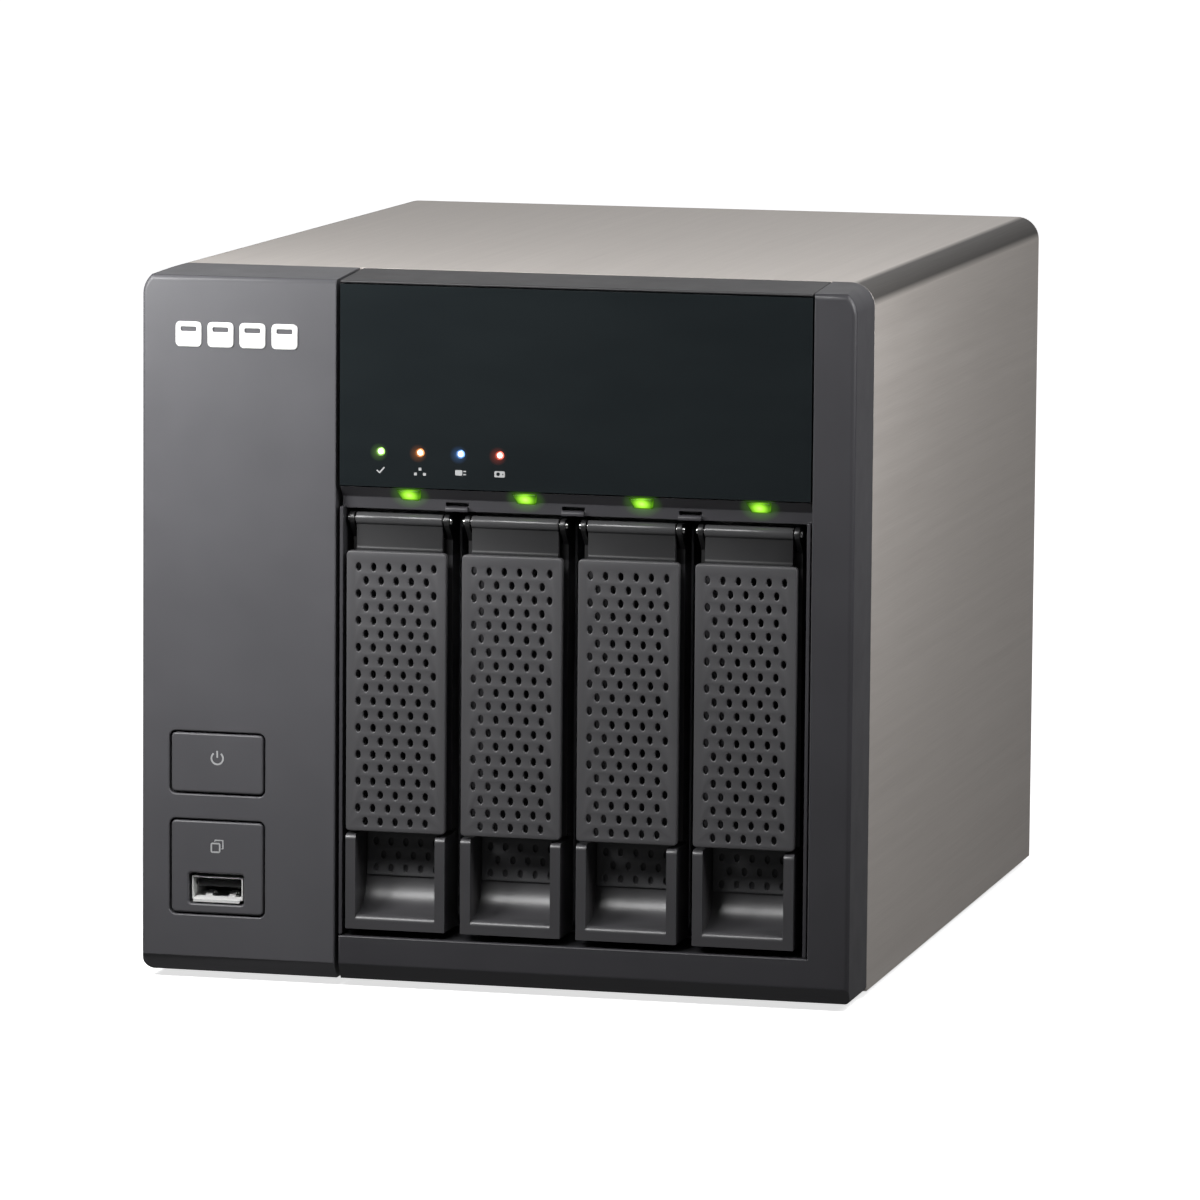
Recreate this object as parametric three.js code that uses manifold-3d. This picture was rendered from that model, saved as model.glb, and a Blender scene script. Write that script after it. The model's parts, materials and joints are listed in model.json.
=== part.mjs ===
// Four-bay network storage enclosure, as an assembly of separate pieces.
// Millimetres, +Z up, front facing -Y, +X to the right as seen from the front.
// The origin is the centre of the footprint on the surface that the feet rest on.
// Pieces are drawn with y as the depth behind the front plane and z as the height
// above the underside of the body; the outermost group moves them to the origin.

import * as THREE from "three";
import { mergeVertices } from "three/addons/utils/BufferGeometryUtils.js";
import Module from "manifold-3d";

const wasm = await Module();
wasm.setup();

// ---------------------------------------------------------------- driving dimensions

const WIDTH = 180;
const DEPTH = 235;
const BODY_HEIGHT = 175;
const FOOT_HEIGHT = 2;
const HALF_WIDTH = WIDTH / 2;

const GAP = 0.3; // clearance between neighbouring pieces
const SHEET = 1.2; // sheet metal thickness
const WALL = 2.5; // moulded plastic wall
const BOARD = 1.6; // circuit board thickness
const OVERCUT = 1; // how far a cutting tool reaches past the faces it cuts
const OVERLAP = 0.5; // how far parts of one piece reach into each other

const CORNER_RADIUS = 6; // upper long edges of the body
const BEZEL_DEPTH = 21;
const BEZEL_TOP_DROP = 1.3; // the bezel's top falls this much towards the front
const BEZEL_CHAMFER_HEIGHT = 4; // lower front edge
const BEZEL_CHAMFER_DEPTH = 2.5;

const FASCIA_RIGHT = -40.2;
const OPENING_LEFT = -39.2;
const OPENING_RIGHT = 79.5;
const OPENING_BOTTOM = 11.1;
const OPENING_CENTRE = (OPENING_LEFT + OPENING_RIGHT) / 2;
const WINDOW_BOTTOM = 123.2;
const WINDOW_TOP = 172.8;
const WINDOW_THICKNESS = 3;
const BAY_TOP = 117.4; // underside of the strip over the trays

const BAY_COUNT = 4;
const BAY_PITCH = 29.35;
const FIRST_BAY = -24.72;
const BAYS = Array.from({ length: BAY_COUNT }, (_, i) => FIRST_BAY + i * BAY_PITCH);

const TRAY_HALF_WIDTH = 12.65;
const TRAY_BOTTOM = 13;
const LEVER_TOP = 107.1;
const LEVER_BOTTOM = 37.5;
const LEVER_THICKNESS = 2.2;
const SCOOP_TOP = 36.7; // top of the two arms beside the finger scoop
const SCOOP_DEPTH = 11;
const HINGE_Y = 3.8;
const HINGE_Z = 114.85;
const HINGE_BAR_RADIUS = 1.55;
const HINGE_BAR_HALF = 11.1;
const PIN_RADIUS = 0.75;
const PIN_CLEARANCE = 0.1;

const DRIVE_WIDTH = 26.1;
const DRIVE_HEIGHT = 101.6;
const DRIVE_LENGTH = 147;
const DRIVE_FRONT = 14;
const DRIVE_BOTTOM = 13.6;

const CAGE_FRONT = 22;
const CAGE_BACK = 163;
const REAR_PANEL_FRONT = 230.9;
const REAR_PANEL_BACK = REAR_PANEL_FRONT + SHEET;

const FAN_SIZE = 92;
const FAN_DEPTH = 25;
const FAN_CENTRE_Z = 62;

const SUPPLY_WIDTH = 81.5;
const SUPPLY_HEIGHT = 40.5;
const SUPPLY_LENGTH = 150;
const SUPPLY_BOTTOM = 118.8;

// A key on the fascia: its face in the front plane, and the hole it sits in.
const POWER_KEY = { left: -82.4, right: -58.6, bottom: 45.2, top: 60.1 };
const COPY_KEY = { left: -82.4, right: -58.6, bottom: 14.9, top: 38.1 };
const KEY_RADIUS = 1.2;
const KEY_GAP = 0.45; // all round each key
const PORT_WINDOW = { left: -77.9, right: -63.7, bottom: 17.3, top: 24.9 };
const PORT_WALL = 0.4; // sheet thickness of the front port's shell

const STATUS_LIGHTS = { x: [-28.75, -18.75, -8.5, 1.4], z: 131.9, radius: 0.8 };
const DISK_LIGHT_OFFSET = 2.8; // from the middle of a bay

// ---------------------------------------------------------------- materials

function finish(color, roughness, metalness) {
  return new THREE.MeshStandardMaterial({ color, roughness, metalness });
}

const brushedMetal = finish(0xaaa49c, 0.38, 0.9);
const zincSheet = finish(0x9b9fa3, 0.45, 0.9);
const fasciaPlastic = finish(0x5c5b60, 0.42, 0.0);
const framePlastic = finish(0x36353b, 0.4, 0.0);
const trimPlastic = finish(0x6a686c, 0.35, 0.0);
const glossBlack = finish(0x14181a, 0.08, 0.0);
const leverPlastic = finish(0x48474c, 0.45, 0.0);
const trayPlastic = finish(0x3a393e, 0.45, 0.0);
const blackPlastic = finish(0x151517, 0.55, 0.0);
const polishedSteel = finish(0xc8c8c8, 0.2, 1.0);
const castAluminium = finish(0x8f9296, 0.5, 0.9);
const boardGreen = finish(0x1f4a33, 0.5, 0.0);
const greenLens = finish(0x9be22a, 0.25, 0.0);
const clearLens = finish(0xe6e6da, 0.25, 0.0);
const footRubber = finish(0x232323, 0.85, 0.0);

// ---------------------------------------------------------------- solids

const MERGE_DISTANCE = 1e-4;
const ARC_STEPS = 6; // straight pieces in a quarter-round outline corner

function solidOf(geometry) {
  const bare = geometry.index ? geometry.toNonIndexed() : geometry.clone();
  bare.deleteAttribute("normal");
  bare.deleteAttribute("uv");
  const merged = mergeVertices(bare, MERGE_DISTANCE);
  const mesh = new wasm.Mesh({
    numProp: 3,
    vertProperties: merged.attributes.position.array,
    triVerts: new Uint32Array(merged.index.array),
  });
  return new wasm.Manifold(mesh);
}

function geometryOf(made) {
  const mesh = made.getMesh();
  const geometry = new THREE.BufferGeometry();
  const positions = new Float32Array(mesh.vertProperties);
  geometry.setAttribute("position", new THREE.BufferAttribute(positions, 3));
  geometry.setIndex(new THREE.BufferAttribute(new Uint32Array(mesh.triVerts), 1));
  return geometry;
}

function join(...geometries) {
  return geometryOf(geometries.map(solidOf).reduce((sum, next) => sum.add(next)));
}

function cut(geometry, ...tools) {
  const start = solidOf(geometry);
  return geometryOf(tools.map(solidOf).reduce((rest, tool) => rest.subtract(tool), start));
}

function common(first, second) {
  return geometryOf(solidOf(first).intersect(solidOf(second)));
}

function block(x0, x1, y0, y1, z0, z1) {
  const box = new THREE.BoxGeometry(x1 - x0, y1 - y0, z1 - z0);
  return box.translate((x0 + x1) / 2, (y0 + y1) / 2, (z0 + z1) / 2);
}

function outline(points) {
  return new THREE.Shape(points.map(([a, b]) => new THREE.Vector2(a, b)));
}

// A rectangle whose corners are rounded: radii run from the lower left anticlockwise.
function roundedRectangle(a0, a1, b0, b1, radii) {
  const [lowerLeft, lowerRight, upperRight, upperLeft] = radii;
  const shape = new THREE.Shape();
  shape.absarc(a0 + lowerLeft, b0 + lowerLeft, lowerLeft, Math.PI, 1.5 * Math.PI);
  shape.absarc(a1 - lowerRight, b0 + lowerRight, lowerRight, 1.5 * Math.PI, 2 * Math.PI);
  shape.absarc(a1 - upperRight, b1 - upperRight, upperRight, 0, 0.5 * Math.PI);
  shape.absarc(a0 + upperLeft, b1 - upperLeft, upperLeft, 0.5 * Math.PI, Math.PI);
  return shape;
}

// An outline in x and z, carried back from depth y0 to depth y1.
function frontal(shape, y0, y1, curveSegments = ARC_STEPS) {
  const options = { depth: y1 - y0, bevelEnabled: false, curveSegments };
  return new THREE.ExtrudeGeometry(shape, options).rotateX(Math.PI / 2).translate(0, y1, 0);
}

// An outline in y and z, carried sideways from x0 to x1.
function sideways(shape, x0, x1, curveSegments = ARC_STEPS) {
  const options = { depth: x1 - x0, bevelEnabled: false, curveSegments };
  const turn = new THREE.Matrix4().makeBasis(
    new THREE.Vector3(0, 1, 0),
    new THREE.Vector3(0, 0, 1),
    new THREE.Vector3(1, 0, 0),
  );
  return new THREE.ExtrudeGeometry(shape, options).applyMatrix4(turn).translate(x0, 0, 0);
}

function rodAlongY(x, z, radius, y0, y1, sides) {
  const rod = new THREE.CylinderGeometry(radius, radius, y1 - y0, sides);
  return rod.translate(x, (y0 + y1) / 2, z);
}

function rodAlongX(x0, x1, y, z, radius, sides) {
  const rod = new THREE.CylinderGeometry(radius, radius, x1 - x0, sides);
  return rod.rotateZ(Math.PI / 2).translate((x0 + x1) / 2, y, z);
}

function piece(group, name, geometry, material) {
  const mesh = new THREE.Mesh(geometry, material);
  mesh.name = name;
  group.add(mesh);
  return mesh;
}

// ---------------------------------------------------------------- sheet metal

// The channel of the cover seen from the front: top and both sides, open below.
function coverSection() {
  const inner = HALF_WIDTH - SHEET;
  const arcHeight = BODY_HEIGHT - CORNER_RADIUS;
  const arcX = HALF_WIDTH - CORNER_RADIUS;
  const innerRadius = CORNER_RADIUS - SHEET;
  const shape = new THREE.Shape();
  shape.moveTo(HALF_WIDTH, 0);
  shape.lineTo(HALF_WIDTH, arcHeight);
  shape.absarc(arcX, arcHeight, CORNER_RADIUS, 0, Math.PI / 2);
  shape.absarc(-arcX, arcHeight, CORNER_RADIUS, Math.PI / 2, Math.PI);
  shape.lineTo(-HALF_WIDTH, 0);
  shape.lineTo(-inner, 0);
  shape.absarc(-arcX, arcHeight, innerRadius, Math.PI, Math.PI / 2, true);
  shape.absarc(arcX, arcHeight, innerRadius, Math.PI / 2, 0, true);
  shape.lineTo(inner, 0);
  return shape;
}

const LUG = { z: 153, halfHeight: 6, reach: 12, screwX: 82 }; // rear ears of the cover
const SCREW_RADIUS = 1.5;

function makeOuterCover() {
  const channel = frontal(coverSection(), BEZEL_DEPTH + GAP, DEPTH);
  const lugFront = REAR_PANEL_BACK + GAP;
  const parts = [channel];
  const holes = [];
  for (const side of [-1, 1]) {
    const ends = [side * (HALF_WIDTH - SHEET / 2), side * (HALF_WIDTH - LUG.reach - SHEET)];
    const [left, right] = [Math.min(...ends), Math.max(...ends)];
    const [bottom, top] = [LUG.z - LUG.halfHeight, LUG.z + LUG.halfHeight];
    parts.push(block(left, right, lugFront, lugFront + SHEET, bottom, top));
    holes.push(rodAlongY(side * LUG.screwX, LUG.z, SCREW_RADIUS + GAP, lugFront - OVERCUT, DEPTH, 12));
  }
  return cut(join(...parts), ...holes);
}

const SCREW_HEAD = { radius: 3.2, crownRadius: 2.9, edge: 0.95, crown: 1.05, seat: 0.05 };
const SCREW_REACH = 4; // how far a cover screw goes past the rear panel

function makeCoverScrew(side) {
  const tip = REAR_PANEL_FRONT - SCREW_REACH;
  const seat = REAR_PANEL_BACK + GAP + SHEET + SCREW_HEAD.seat;
  const profile = [
    [0, tip],
    [SCREW_RADIUS, tip],
    [SCREW_RADIUS, seat],
    [SCREW_HEAD.radius, seat],
    [SCREW_HEAD.crownRadius, seat + SCREW_HEAD.edge],
    [0, seat + SCREW_HEAD.crown],
  ];
  const points = profile.map(([radius, y]) => new THREE.Vector2(radius, y));
  return new THREE.LatheGeometry(points, 16).translate(side * LUG.screwX, 0, LUG.z);
}

const CHASSIS_HALF = HALF_WIDTH - SHEET - GAP;
const MAINBOARD_X = -84; // back face of the mainboard
const STANDOFF_RADIUS = 2.5;
const STANDOFF_PLACES = [
  [50, 25],
  [50, 150],
  [205, 25],
  [205, 150],
];

const BASE_VENTS = { count: 5, left: -30, right: 65, front: 70, width: 3, pitch: 9 };

function makeBasePlate() {
  const wallTop = 165;
  const flangeTop = 9;
  const section = outline([
    [-CHASSIS_HALF, 0],
    [CHASSIS_HALF, 0],
    [CHASSIS_HALF, flangeTop],
    [CHASSIS_HALF - SHEET, flangeTop],
    [CHASSIS_HALF - SHEET, SHEET],
    [-CHASSIS_HALF + SHEET, SHEET],
    [-CHASSIS_HALF + SHEET, wallTop],
    [-CHASSIS_HALF, wallTop],
  ]);
  const tray = frontal(section, BEZEL_DEPTH + GAP, REAR_PANEL_FRONT - GAP);
  const standoffs = STANDOFF_PLACES.map(([y, z]) =>
    rodAlongX(-CHASSIS_HALF + SHEET / 2, MAINBOARD_X - GAP, y, z, STANDOFF_RADIUS, 10),
  );
  const vents = [];
  for (let i = 0; i < BASE_VENTS.count; i += 1) {
    const front = BASE_VENTS.front + i * BASE_VENTS.pitch;
    const back = front + BASE_VENTS.width;
    vents.push(block(BASE_VENTS.left, BASE_VENTS.right, front, back, -OVERCUT, SHEET + OVERCUT));
  }
  return cut(join(tray, ...standoffs), ...vents);
}

const FAN_OPENING_RADIUS = 44.5;
const FAN_SCREW_RADIUS = 2.2;
const REAR_VENTS = { count: 7, left: -58, width: 3, pitch: 6, bottom: 136, top: 158 };
const SUPPLY_LEFT = OPENING_CENTRE - SUPPLY_WIDTH / 2;
const SUPPLY_RIGHT = SUPPLY_LEFT + SUPPLY_WIDTH;
const SUPPLY_TOP = SUPPLY_BOTTOM + SUPPLY_HEIGHT;

// Rear connectors on the mainboard: each block's height range, its width, and its
// openings as a grid of columns in x and rows in z.
const PORT_BLOCKS = {
  rear_usb_ports: {
    bottom: 28,
    top: 58,
    width: 15.6,
    columns: 2,
    columnPitch: 7.6,
    rowPitch: 15,
    hole: { width: 5.4, height: 12.4 },
  },
  lan_ports: {
    bottom: 62,
    top: 94,
    width: 13.6,
    columns: 1,
    columnPitch: 0,
    rowPitch: 15.8,
    hole: { width: 9, height: 11.8 },
  },
  esata_ports: {
    bottom: 98,
    top: 122,
    width: 9,
    columns: 1,
    columnPitch: 0,
    rowPitch: 12,
    hole: { width: 3.4, height: 8.6 },
  },
};
const PORT_LEFT = MAINBOARD_X + BOARD + GAP;
const PORT_FRONT = 211;
const PORT_BACK = REAR_PANEL_BACK + 1;
const REAR_MARGIN = 2.5; // of rear panel overlapping the supply unit all round

function makeRearPanel() {
  const radius = CORNER_RADIUS - SHEET - GAP;
  const section = roundedRectangle(
    -CHASSIS_HALF,
    CHASSIS_HALF,
    SHEET + GAP,
    BODY_HEIGHT - SHEET - GAP,
    [0.5, 0.5, radius, radius],
  );
  const sheet = frontal(section, REAR_PANEL_FRONT, REAR_PANEL_BACK);
  const before = REAR_PANEL_FRONT - OVERCUT;
  const after = REAR_PANEL_BACK + OVERCUT;
  const tools = [
    rodAlongY(OPENING_CENTRE, FAN_CENTRE_Z, FAN_OPENING_RADIUS, before, after, 48),
    block(
      SUPPLY_LEFT + REAR_MARGIN,
      SUPPLY_RIGHT - REAR_MARGIN,
      before,
      after,
      SUPPLY_BOTTOM + REAR_MARGIN,
      SUPPLY_TOP - REAR_MARGIN,
    ),
  ];
  for (const port of Object.values(PORT_BLOCKS)) {
    const right = PORT_LEFT + port.width + GAP;
    tools.push(block(PORT_LEFT - GAP, right, before, after, port.bottom - GAP, port.top + GAP));
  }
  for (const side of [-1, 1]) {
    tools.push(rodAlongY(side * LUG.screwX, LUG.z, SCREW_RADIUS + GAP, before, after, 12));
  }
  for (const [dx, dz] of FAN_CORNERS) {
    const [x, z] = [OPENING_CENTRE + dx, FAN_CENTRE_Z + dz];
    tools.push(rodAlongY(x, z, FAN_SCREW_RADIUS, before, after, 10));
  }
  for (let i = 0; i < REAR_VENTS.count; i += 1) {
    const left = REAR_VENTS.left + i * REAR_VENTS.pitch;
    const right = left + REAR_VENTS.width;
    tools.push(block(left, right, before, after, REAR_VENTS.bottom, REAR_VENTS.top));
  }
  return cut(sheet, ...tools);
}

// ---------------------------------------------------------------- front bezel

const BEZEL_CORNERS = [2.5, 1.5, CORNER_RADIUS, CORNER_RADIUS]; // from the lower left

// The whole front moulding before it is divided: sloped top, chamfered lower edge.
function bezelBlank() {
  const section = roundedRectangle(-HALF_WIDTH, HALF_WIDTH, 0, BODY_HEIGHT, BEZEL_CORNERS);
  const slope = BEZEL_TOP_DROP / BEZEL_DEPTH;
  const above = outline([
    [-1, BODY_HEIGHT - BEZEL_TOP_DROP - slope],
    [BEZEL_DEPTH, BODY_HEIGHT],
    [BEZEL_DEPTH, BODY_HEIGHT + 1],
    [-1, BODY_HEIGHT + 1],
  ]);
  const steepness = BEZEL_CHAMFER_HEIGHT / BEZEL_CHAMFER_DEPTH;
  const below = outline([
    [-1, -1],
    [BEZEL_CHAMFER_DEPTH + 1 / steepness, -1],
    [-1, BEZEL_CHAMFER_HEIGHT + steepness],
  ]);
  const cutters = [above, below].map((shape) => sideways(shape, -WIDTH, WIDTH));
  return cut(frontal(section, 0, BEZEL_DEPTH), ...cutters);
}

function slice(x0, x1, z0, z1) {
  return common(bezelBlank(), block(x0, x1, -1, BEZEL_DEPTH + 1, z0, z1));
}

function keyHole(key) {
  const radii = Array(4).fill(KEY_RADIUS + KEY_GAP);
  const shape = roundedRectangle(
    key.left - KEY_GAP,
    key.right + KEY_GAP,
    key.bottom - KEY_GAP,
    key.top + KEY_GAP,
    radii,
  );
  return frontal(shape, -OVERCUT, WALL + OVERCUT, 3);
}

const FRONT_BOARD_Y = 13;
const BOSS_RADIUS = 2.5;
const BOSS_PLACES = [
  [-48, 14],
  [-48, 58],
];

function makeLeftFascia() {
  const body = slice(-HALF_WIDTH, FASCIA_RIGHT, -1, BODY_HEIGHT + 1);
  const hollow = block(
    -HALF_WIDTH + WALL,
    FASCIA_RIGHT - WALL,
    WALL,
    BEZEL_DEPTH + 1,
    WALL,
    BODY_HEIGHT - BEZEL_TOP_DROP - WALL,
  );
  const shell = cut(body, hollow, keyHole(POWER_KEY), keyHole(COPY_KEY));
  const bosses = BOSS_PLACES.map(([x, z]) =>
    rodAlongY(x, z, BOSS_RADIUS, WALL - OVERLAP, FRONT_BOARD_Y - GAP, 12),
  );
  return join(shell, ...bosses);
}

function makeBezelFrame() {
  const rightBar = slice(OPENING_RIGHT, HALF_WIDTH, -1, BODY_HEIGHT + 1);
  const bottomBar = slice(OPENING_LEFT, OPENING_RIGHT + 1, -1, OPENING_BOTTOM);
  const back = BEZEL_DEPTH + 1;
  const barTop = BODY_HEIGHT - BEZEL_TOP_DROP - WALL;
  const hollows = [
    block(OPENING_RIGHT + WALL, HALF_WIDTH - WALL, WALL, back, WALL, barTop),
    block(OPENING_LEFT + WALL, OPENING_RIGHT + WALL + 1, WALL, back, WALL, OPENING_BOTTOM - WALL),
  ];
  return cut(join(rightBar, bottomBar), ...hollows);
}

const TRIM_LEFT = OPENING_LEFT;
const TRIM_RIGHT = OPENING_RIGHT - GAP;
const TRIM_RIB_DROP = 1.5; // how far the rib behind the window reaches down

function makeTopTrim() {
  const strip = slice(TRIM_LEFT, TRIM_RIGHT, WINDOW_TOP + GAP, BODY_HEIGHT + 1);
  const rib = block(
    TRIM_LEFT,
    TRIM_RIGHT,
    WINDOW_THICKNESS + GAP,
    BEZEL_DEPTH,
    WINDOW_TOP - TRIM_RIB_DROP,
    WINDOW_TOP + GAP + OVERLAP,
  );
  return join(strip, rib);
}

function makeDisplayWindow() {
  const pane = block(TRIM_LEFT, TRIM_RIGHT, 0, WINDOW_THICKNESS, WINDOW_BOTTOM, WINDOW_TOP);
  const radius = STATUS_LIGHTS.radius + GAP;
  const holes = STATUS_LIGHTS.x.map((x) =>
    rodAlongY(x, STATUS_LIGHTS.z, radius, -OVERCUT, WINDOW_THICKNESS + OVERCUT, 12),
  );
  return cut(pane, ...holes);
}

const GUIDE_BAR = { margin: 1.5, thickness: 2, halfHeight: 1.2 };
const FLUSH = 0.1; // how far lights and keys sit behind the front plane

function makeStatusLightGuide() {
  const barFront = WINDOW_THICKNESS + GAP;
  const first = STATUS_LIGHTS.x[0];
  const last = STATUS_LIGHTS.x[STATUS_LIGHTS.x.length - 1];
  const bar = block(
    first - GUIDE_BAR.margin,
    last + GUIDE_BAR.margin,
    barFront,
    barFront + GUIDE_BAR.thickness,
    STATUS_LIGHTS.z - GUIDE_BAR.halfHeight,
    STATUS_LIGHTS.z + GUIDE_BAR.halfHeight,
  );
  const heads = STATUS_LIGHTS.x.map((x) =>
    rodAlongY(x, STATUS_LIGHTS.z, STATUS_LIGHTS.radius, FLUSH, barFront + OVERLAP, 12),
  );
  return join(bar, ...heads);
}

// The light strip over the trays: a face that leans back under the window, then an
// upright band. The disk lights sit in the leaning face.
const STRIP_TOP = WINDOW_BOTTOM - GAP;
const STRIP_LEAN = { topY: 0.5, footY: 3, footZ: 120.3 };
const STRIP_BACK = 7;

// The lens stands proud of the leaning face by its lift.
const DISK_LIGHT = { upperHalf: 2.9, lowerHalf: 2, drop: 0.3, topGap: 0.6, back: 5.5, lift: 0.55 };
const DISK_LIGHT_CLEARANCE = 0.25;

function diskLightOutline(centre, margin) {
  const upper = DISK_LIGHT.upperHalf + margin;
  const lower = DISK_LIGHT.lowerHalf + margin;
  const bottom = STRIP_LEAN.footZ - DISK_LIGHT.drop - margin;
  const top = STRIP_TOP - DISK_LIGHT.topGap + margin;
  return outline([
    [centre - lower, bottom],
    [centre + lower, bottom],
    [centre + upper, top],
    [centre - upper, top],
  ]);
}

function makeDiskLight(centre) {
  const stem = frontal(diskLightOutline(centre, 0), 0, DISK_LIGHT.back);
  const topY = STRIP_LEAN.topY - DISK_LIGHT.lift;
  const footY = STRIP_LEAN.footY - DISK_LIGHT.lift;
  const below = STRIP_LEAN.footZ - DISK_LIGHT.drop - OVERCUT;
  const front = outline([
    [-OVERCUT, STRIP_TOP + OVERCUT],
    [topY, STRIP_TOP],
    [footY, STRIP_LEAN.footZ],
    [footY, below],
    [-OVERCUT, below],
  ]);
  const reach = DISK_LIGHT.upperHalf + OVERCUT;
  return cut(stem, sideways(front, centre - reach, centre + reach));
}

// Over each divider a round-nosed tab stands in a notch of the strip.
const TAB = { halfWidth: 2.85, front: 1.9, height: 1.2, nose: 0.7, notchHeight: 2.1 };

function tabSection() {
  const top = BAY_TOP + TAB.height;
  const shape = new THREE.Shape();
  shape.moveTo(TAB.front, BAY_TOP);
  shape.lineTo(TAB.front, top - TAB.nose);
  shape.absarc(TAB.front + TAB.nose, top - TAB.nose, TAB.nose, Math.PI, Math.PI / 2, true);
  shape.lineTo(STRIP_BACK, top);
  shape.lineTo(STRIP_BACK, BAY_TOP);
  return shape;
}

const SURROUND_LEDGE = 1.4; // thickness of the shelf over the trays
const POST_WIDTH = 0.9; // of the two upright sides

function makeBaySurround() {
  const ledgeTop = BAY_TOP + SURROUND_LEDGE;
  const section = outline([
    [STRIP_LEAN.topY, STRIP_TOP],
    [STRIP_LEAN.footY, STRIP_LEAN.footZ],
    [STRIP_LEAN.footY, BAY_TOP],
    [BEZEL_DEPTH - GAP, BAY_TOP],
    [BEZEL_DEPTH - GAP, ledgeTop],
    [STRIP_BACK, ledgeTop],
    [STRIP_BACK, STRIP_TOP],
  ]);
  const strip = sideways(section, TRIM_LEFT, TRIM_RIGHT);
  const posts = [TRIM_LEFT, TRIM_RIGHT - POST_WIDTH].map((left) =>
    block(
      left,
      left + POST_WIDTH,
      GAP,
      BEZEL_DEPTH - GAP,
      OPENING_BOTTOM + GAP,
      BAY_TOP + OVERLAP,
    ),
  );
  const tabs = [];
  const notches = [];
  for (const centre of BAYS.slice(0, -1)) {
    const divider = centre + BAY_PITCH / 2;
    const left = divider - TAB.halfWidth;
    const right = divider + TAB.halfWidth;
    const [bottom, top] = [BAY_TOP - OVERCUT, BAY_TOP + TAB.notchHeight];
    notches.push(block(left, right, 0, STRIP_BACK - WALL / 2, bottom, top));
    tabs.push(sideways(tabSection(), left, right));
  }
  const lightHoles = BAYS.map((centre) =>
    frontal(
      diskLightOutline(centre + DISK_LIGHT_OFFSET, DISK_LIGHT_CLEARANCE),
      -OVERCUT,
      STRIP_BACK + OVERCUT,
    ),
  );
  return join(cut(join(strip, ...posts), ...notches, ...lightHoles), ...tabs);
}

// ---------------------------------------------------------------- keys and front board

const KEY_FLANGE = 1.4; // how far the hidden flange reaches past the key's face
const KEY_FLANGE_THICKNESS = 1.2;
const KEY_STEM_RADIUS = 2.5;
const KEY_STEM_BACK = 6;
const KEY_TRAVEL = 1;
const COPY_SWITCH_Z = 31.5;

function keyBody(key) {
  const face = roundedRectangle(key.left, key.right, key.bottom, key.top, Array(4).fill(KEY_RADIUS));
  const flange = block(
    key.left - KEY_FLANGE,
    key.right + KEY_FLANGE,
    WALL + GAP,
    WALL + GAP + KEY_FLANGE_THICKNESS,
    key.bottom - KEY_FLANGE,
    key.top + KEY_FLANGE,
  );
  return join(frontal(face, FLUSH, WALL + GAP + OVERLAP, 3), flange);
}

function makePowerButton() {
  const middle = (POWER_KEY.left + POWER_KEY.right) / 2;
  const height = (POWER_KEY.bottom + POWER_KEY.top) / 2;
  const stem = rodAlongY(middle, height, KEY_STEM_RADIUS, WALL, KEY_STEM_BACK, 12);
  return join(keyBody(POWER_KEY), stem);
}

function makeCopyButton() {
  const middle = (COPY_KEY.left + COPY_KEY.right) / 2;
  const stem = rodAlongY(middle, COPY_SWITCH_Z, KEY_STEM_RADIUS, WALL, KEY_STEM_BACK, 12);
  const port = block(
    PORT_WINDOW.left,
    PORT_WINDOW.right,
    -OVERCUT,
    KEY_STEM_BACK,
    PORT_WINDOW.bottom,
    PORT_WINDOW.top,
  );
  return cut(join(keyBody(COPY_KEY), stem), port);
}

const FRONT_BOARD = { left: -85, right: -45, bottom: 8, top: 66, portMargin: 1 };
const SWITCH = { half: 3, front: 9.2, plungerRadius: 1.7, slack: 0.2 };

function makeFrontBoard() {
  const { left, right, bottom, top, portMargin } = FRONT_BOARD;
  const back = FRONT_BOARD_Y + BOARD;
  const port = block(
    PORT_WINDOW.left - portMargin,
    PORT_WINDOW.right + portMargin,
    FRONT_BOARD_Y - OVERCUT,
    back + OVERCUT,
    PORT_WINDOW.bottom - portMargin,
    PORT_WINDOW.top + portMargin,
  );
  return cut(block(left, right, FRONT_BOARD_Y, back, bottom, top), port);
}

// A tactile switch: its plunger waits just behind the key's stem.
function makeSwitch(z) {
  const { half, front, plungerRadius, slack } = SWITCH;
  const middle = (POWER_KEY.left + POWER_KEY.right) / 2;
  const plungerFront = KEY_STEM_BACK + KEY_TRAVEL + slack;
  const can = block(middle - half, middle + half, front, FRONT_BOARD_Y - GAP, z - half, z + half);
  return join(can, rodAlongY(middle, z, plungerRadius, plungerFront, front + OVERLAP, 12));
}

const USB_OUTER = { halfWidth: 6.6, halfHeight: 2.95 };
const USB_MIDDLE_X = (PORT_WINDOW.left + PORT_WINDOW.right) / 2;
const USB_MIDDLE_Z = (PORT_WINDOW.bottom + PORT_WINDOW.top) / 2;
const USB_FRONT = 1.4;
const USB_BACK = 17;
const USB_PLUG_LENGTH = 5;
const USB_TONGUE = { half: 5.5, recess: 1.5, bottom: 0.2, top: 2 };

function usbTube(inset, y0, y1) {
  const w = USB_OUTER.halfWidth - inset;
  const h = USB_OUTER.halfHeight - inset;
  return block(USB_MIDDLE_X - w, USB_MIDDLE_X + w, y0, y1, USB_MIDDLE_Z - h, USB_MIDDLE_Z + h);
}

function makeFrontUsbShell() {
  return cut(usbTube(0, USB_FRONT, USB_BACK), usbTube(PORT_WALL, 0, USB_BACK + OVERCUT));
}

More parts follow.
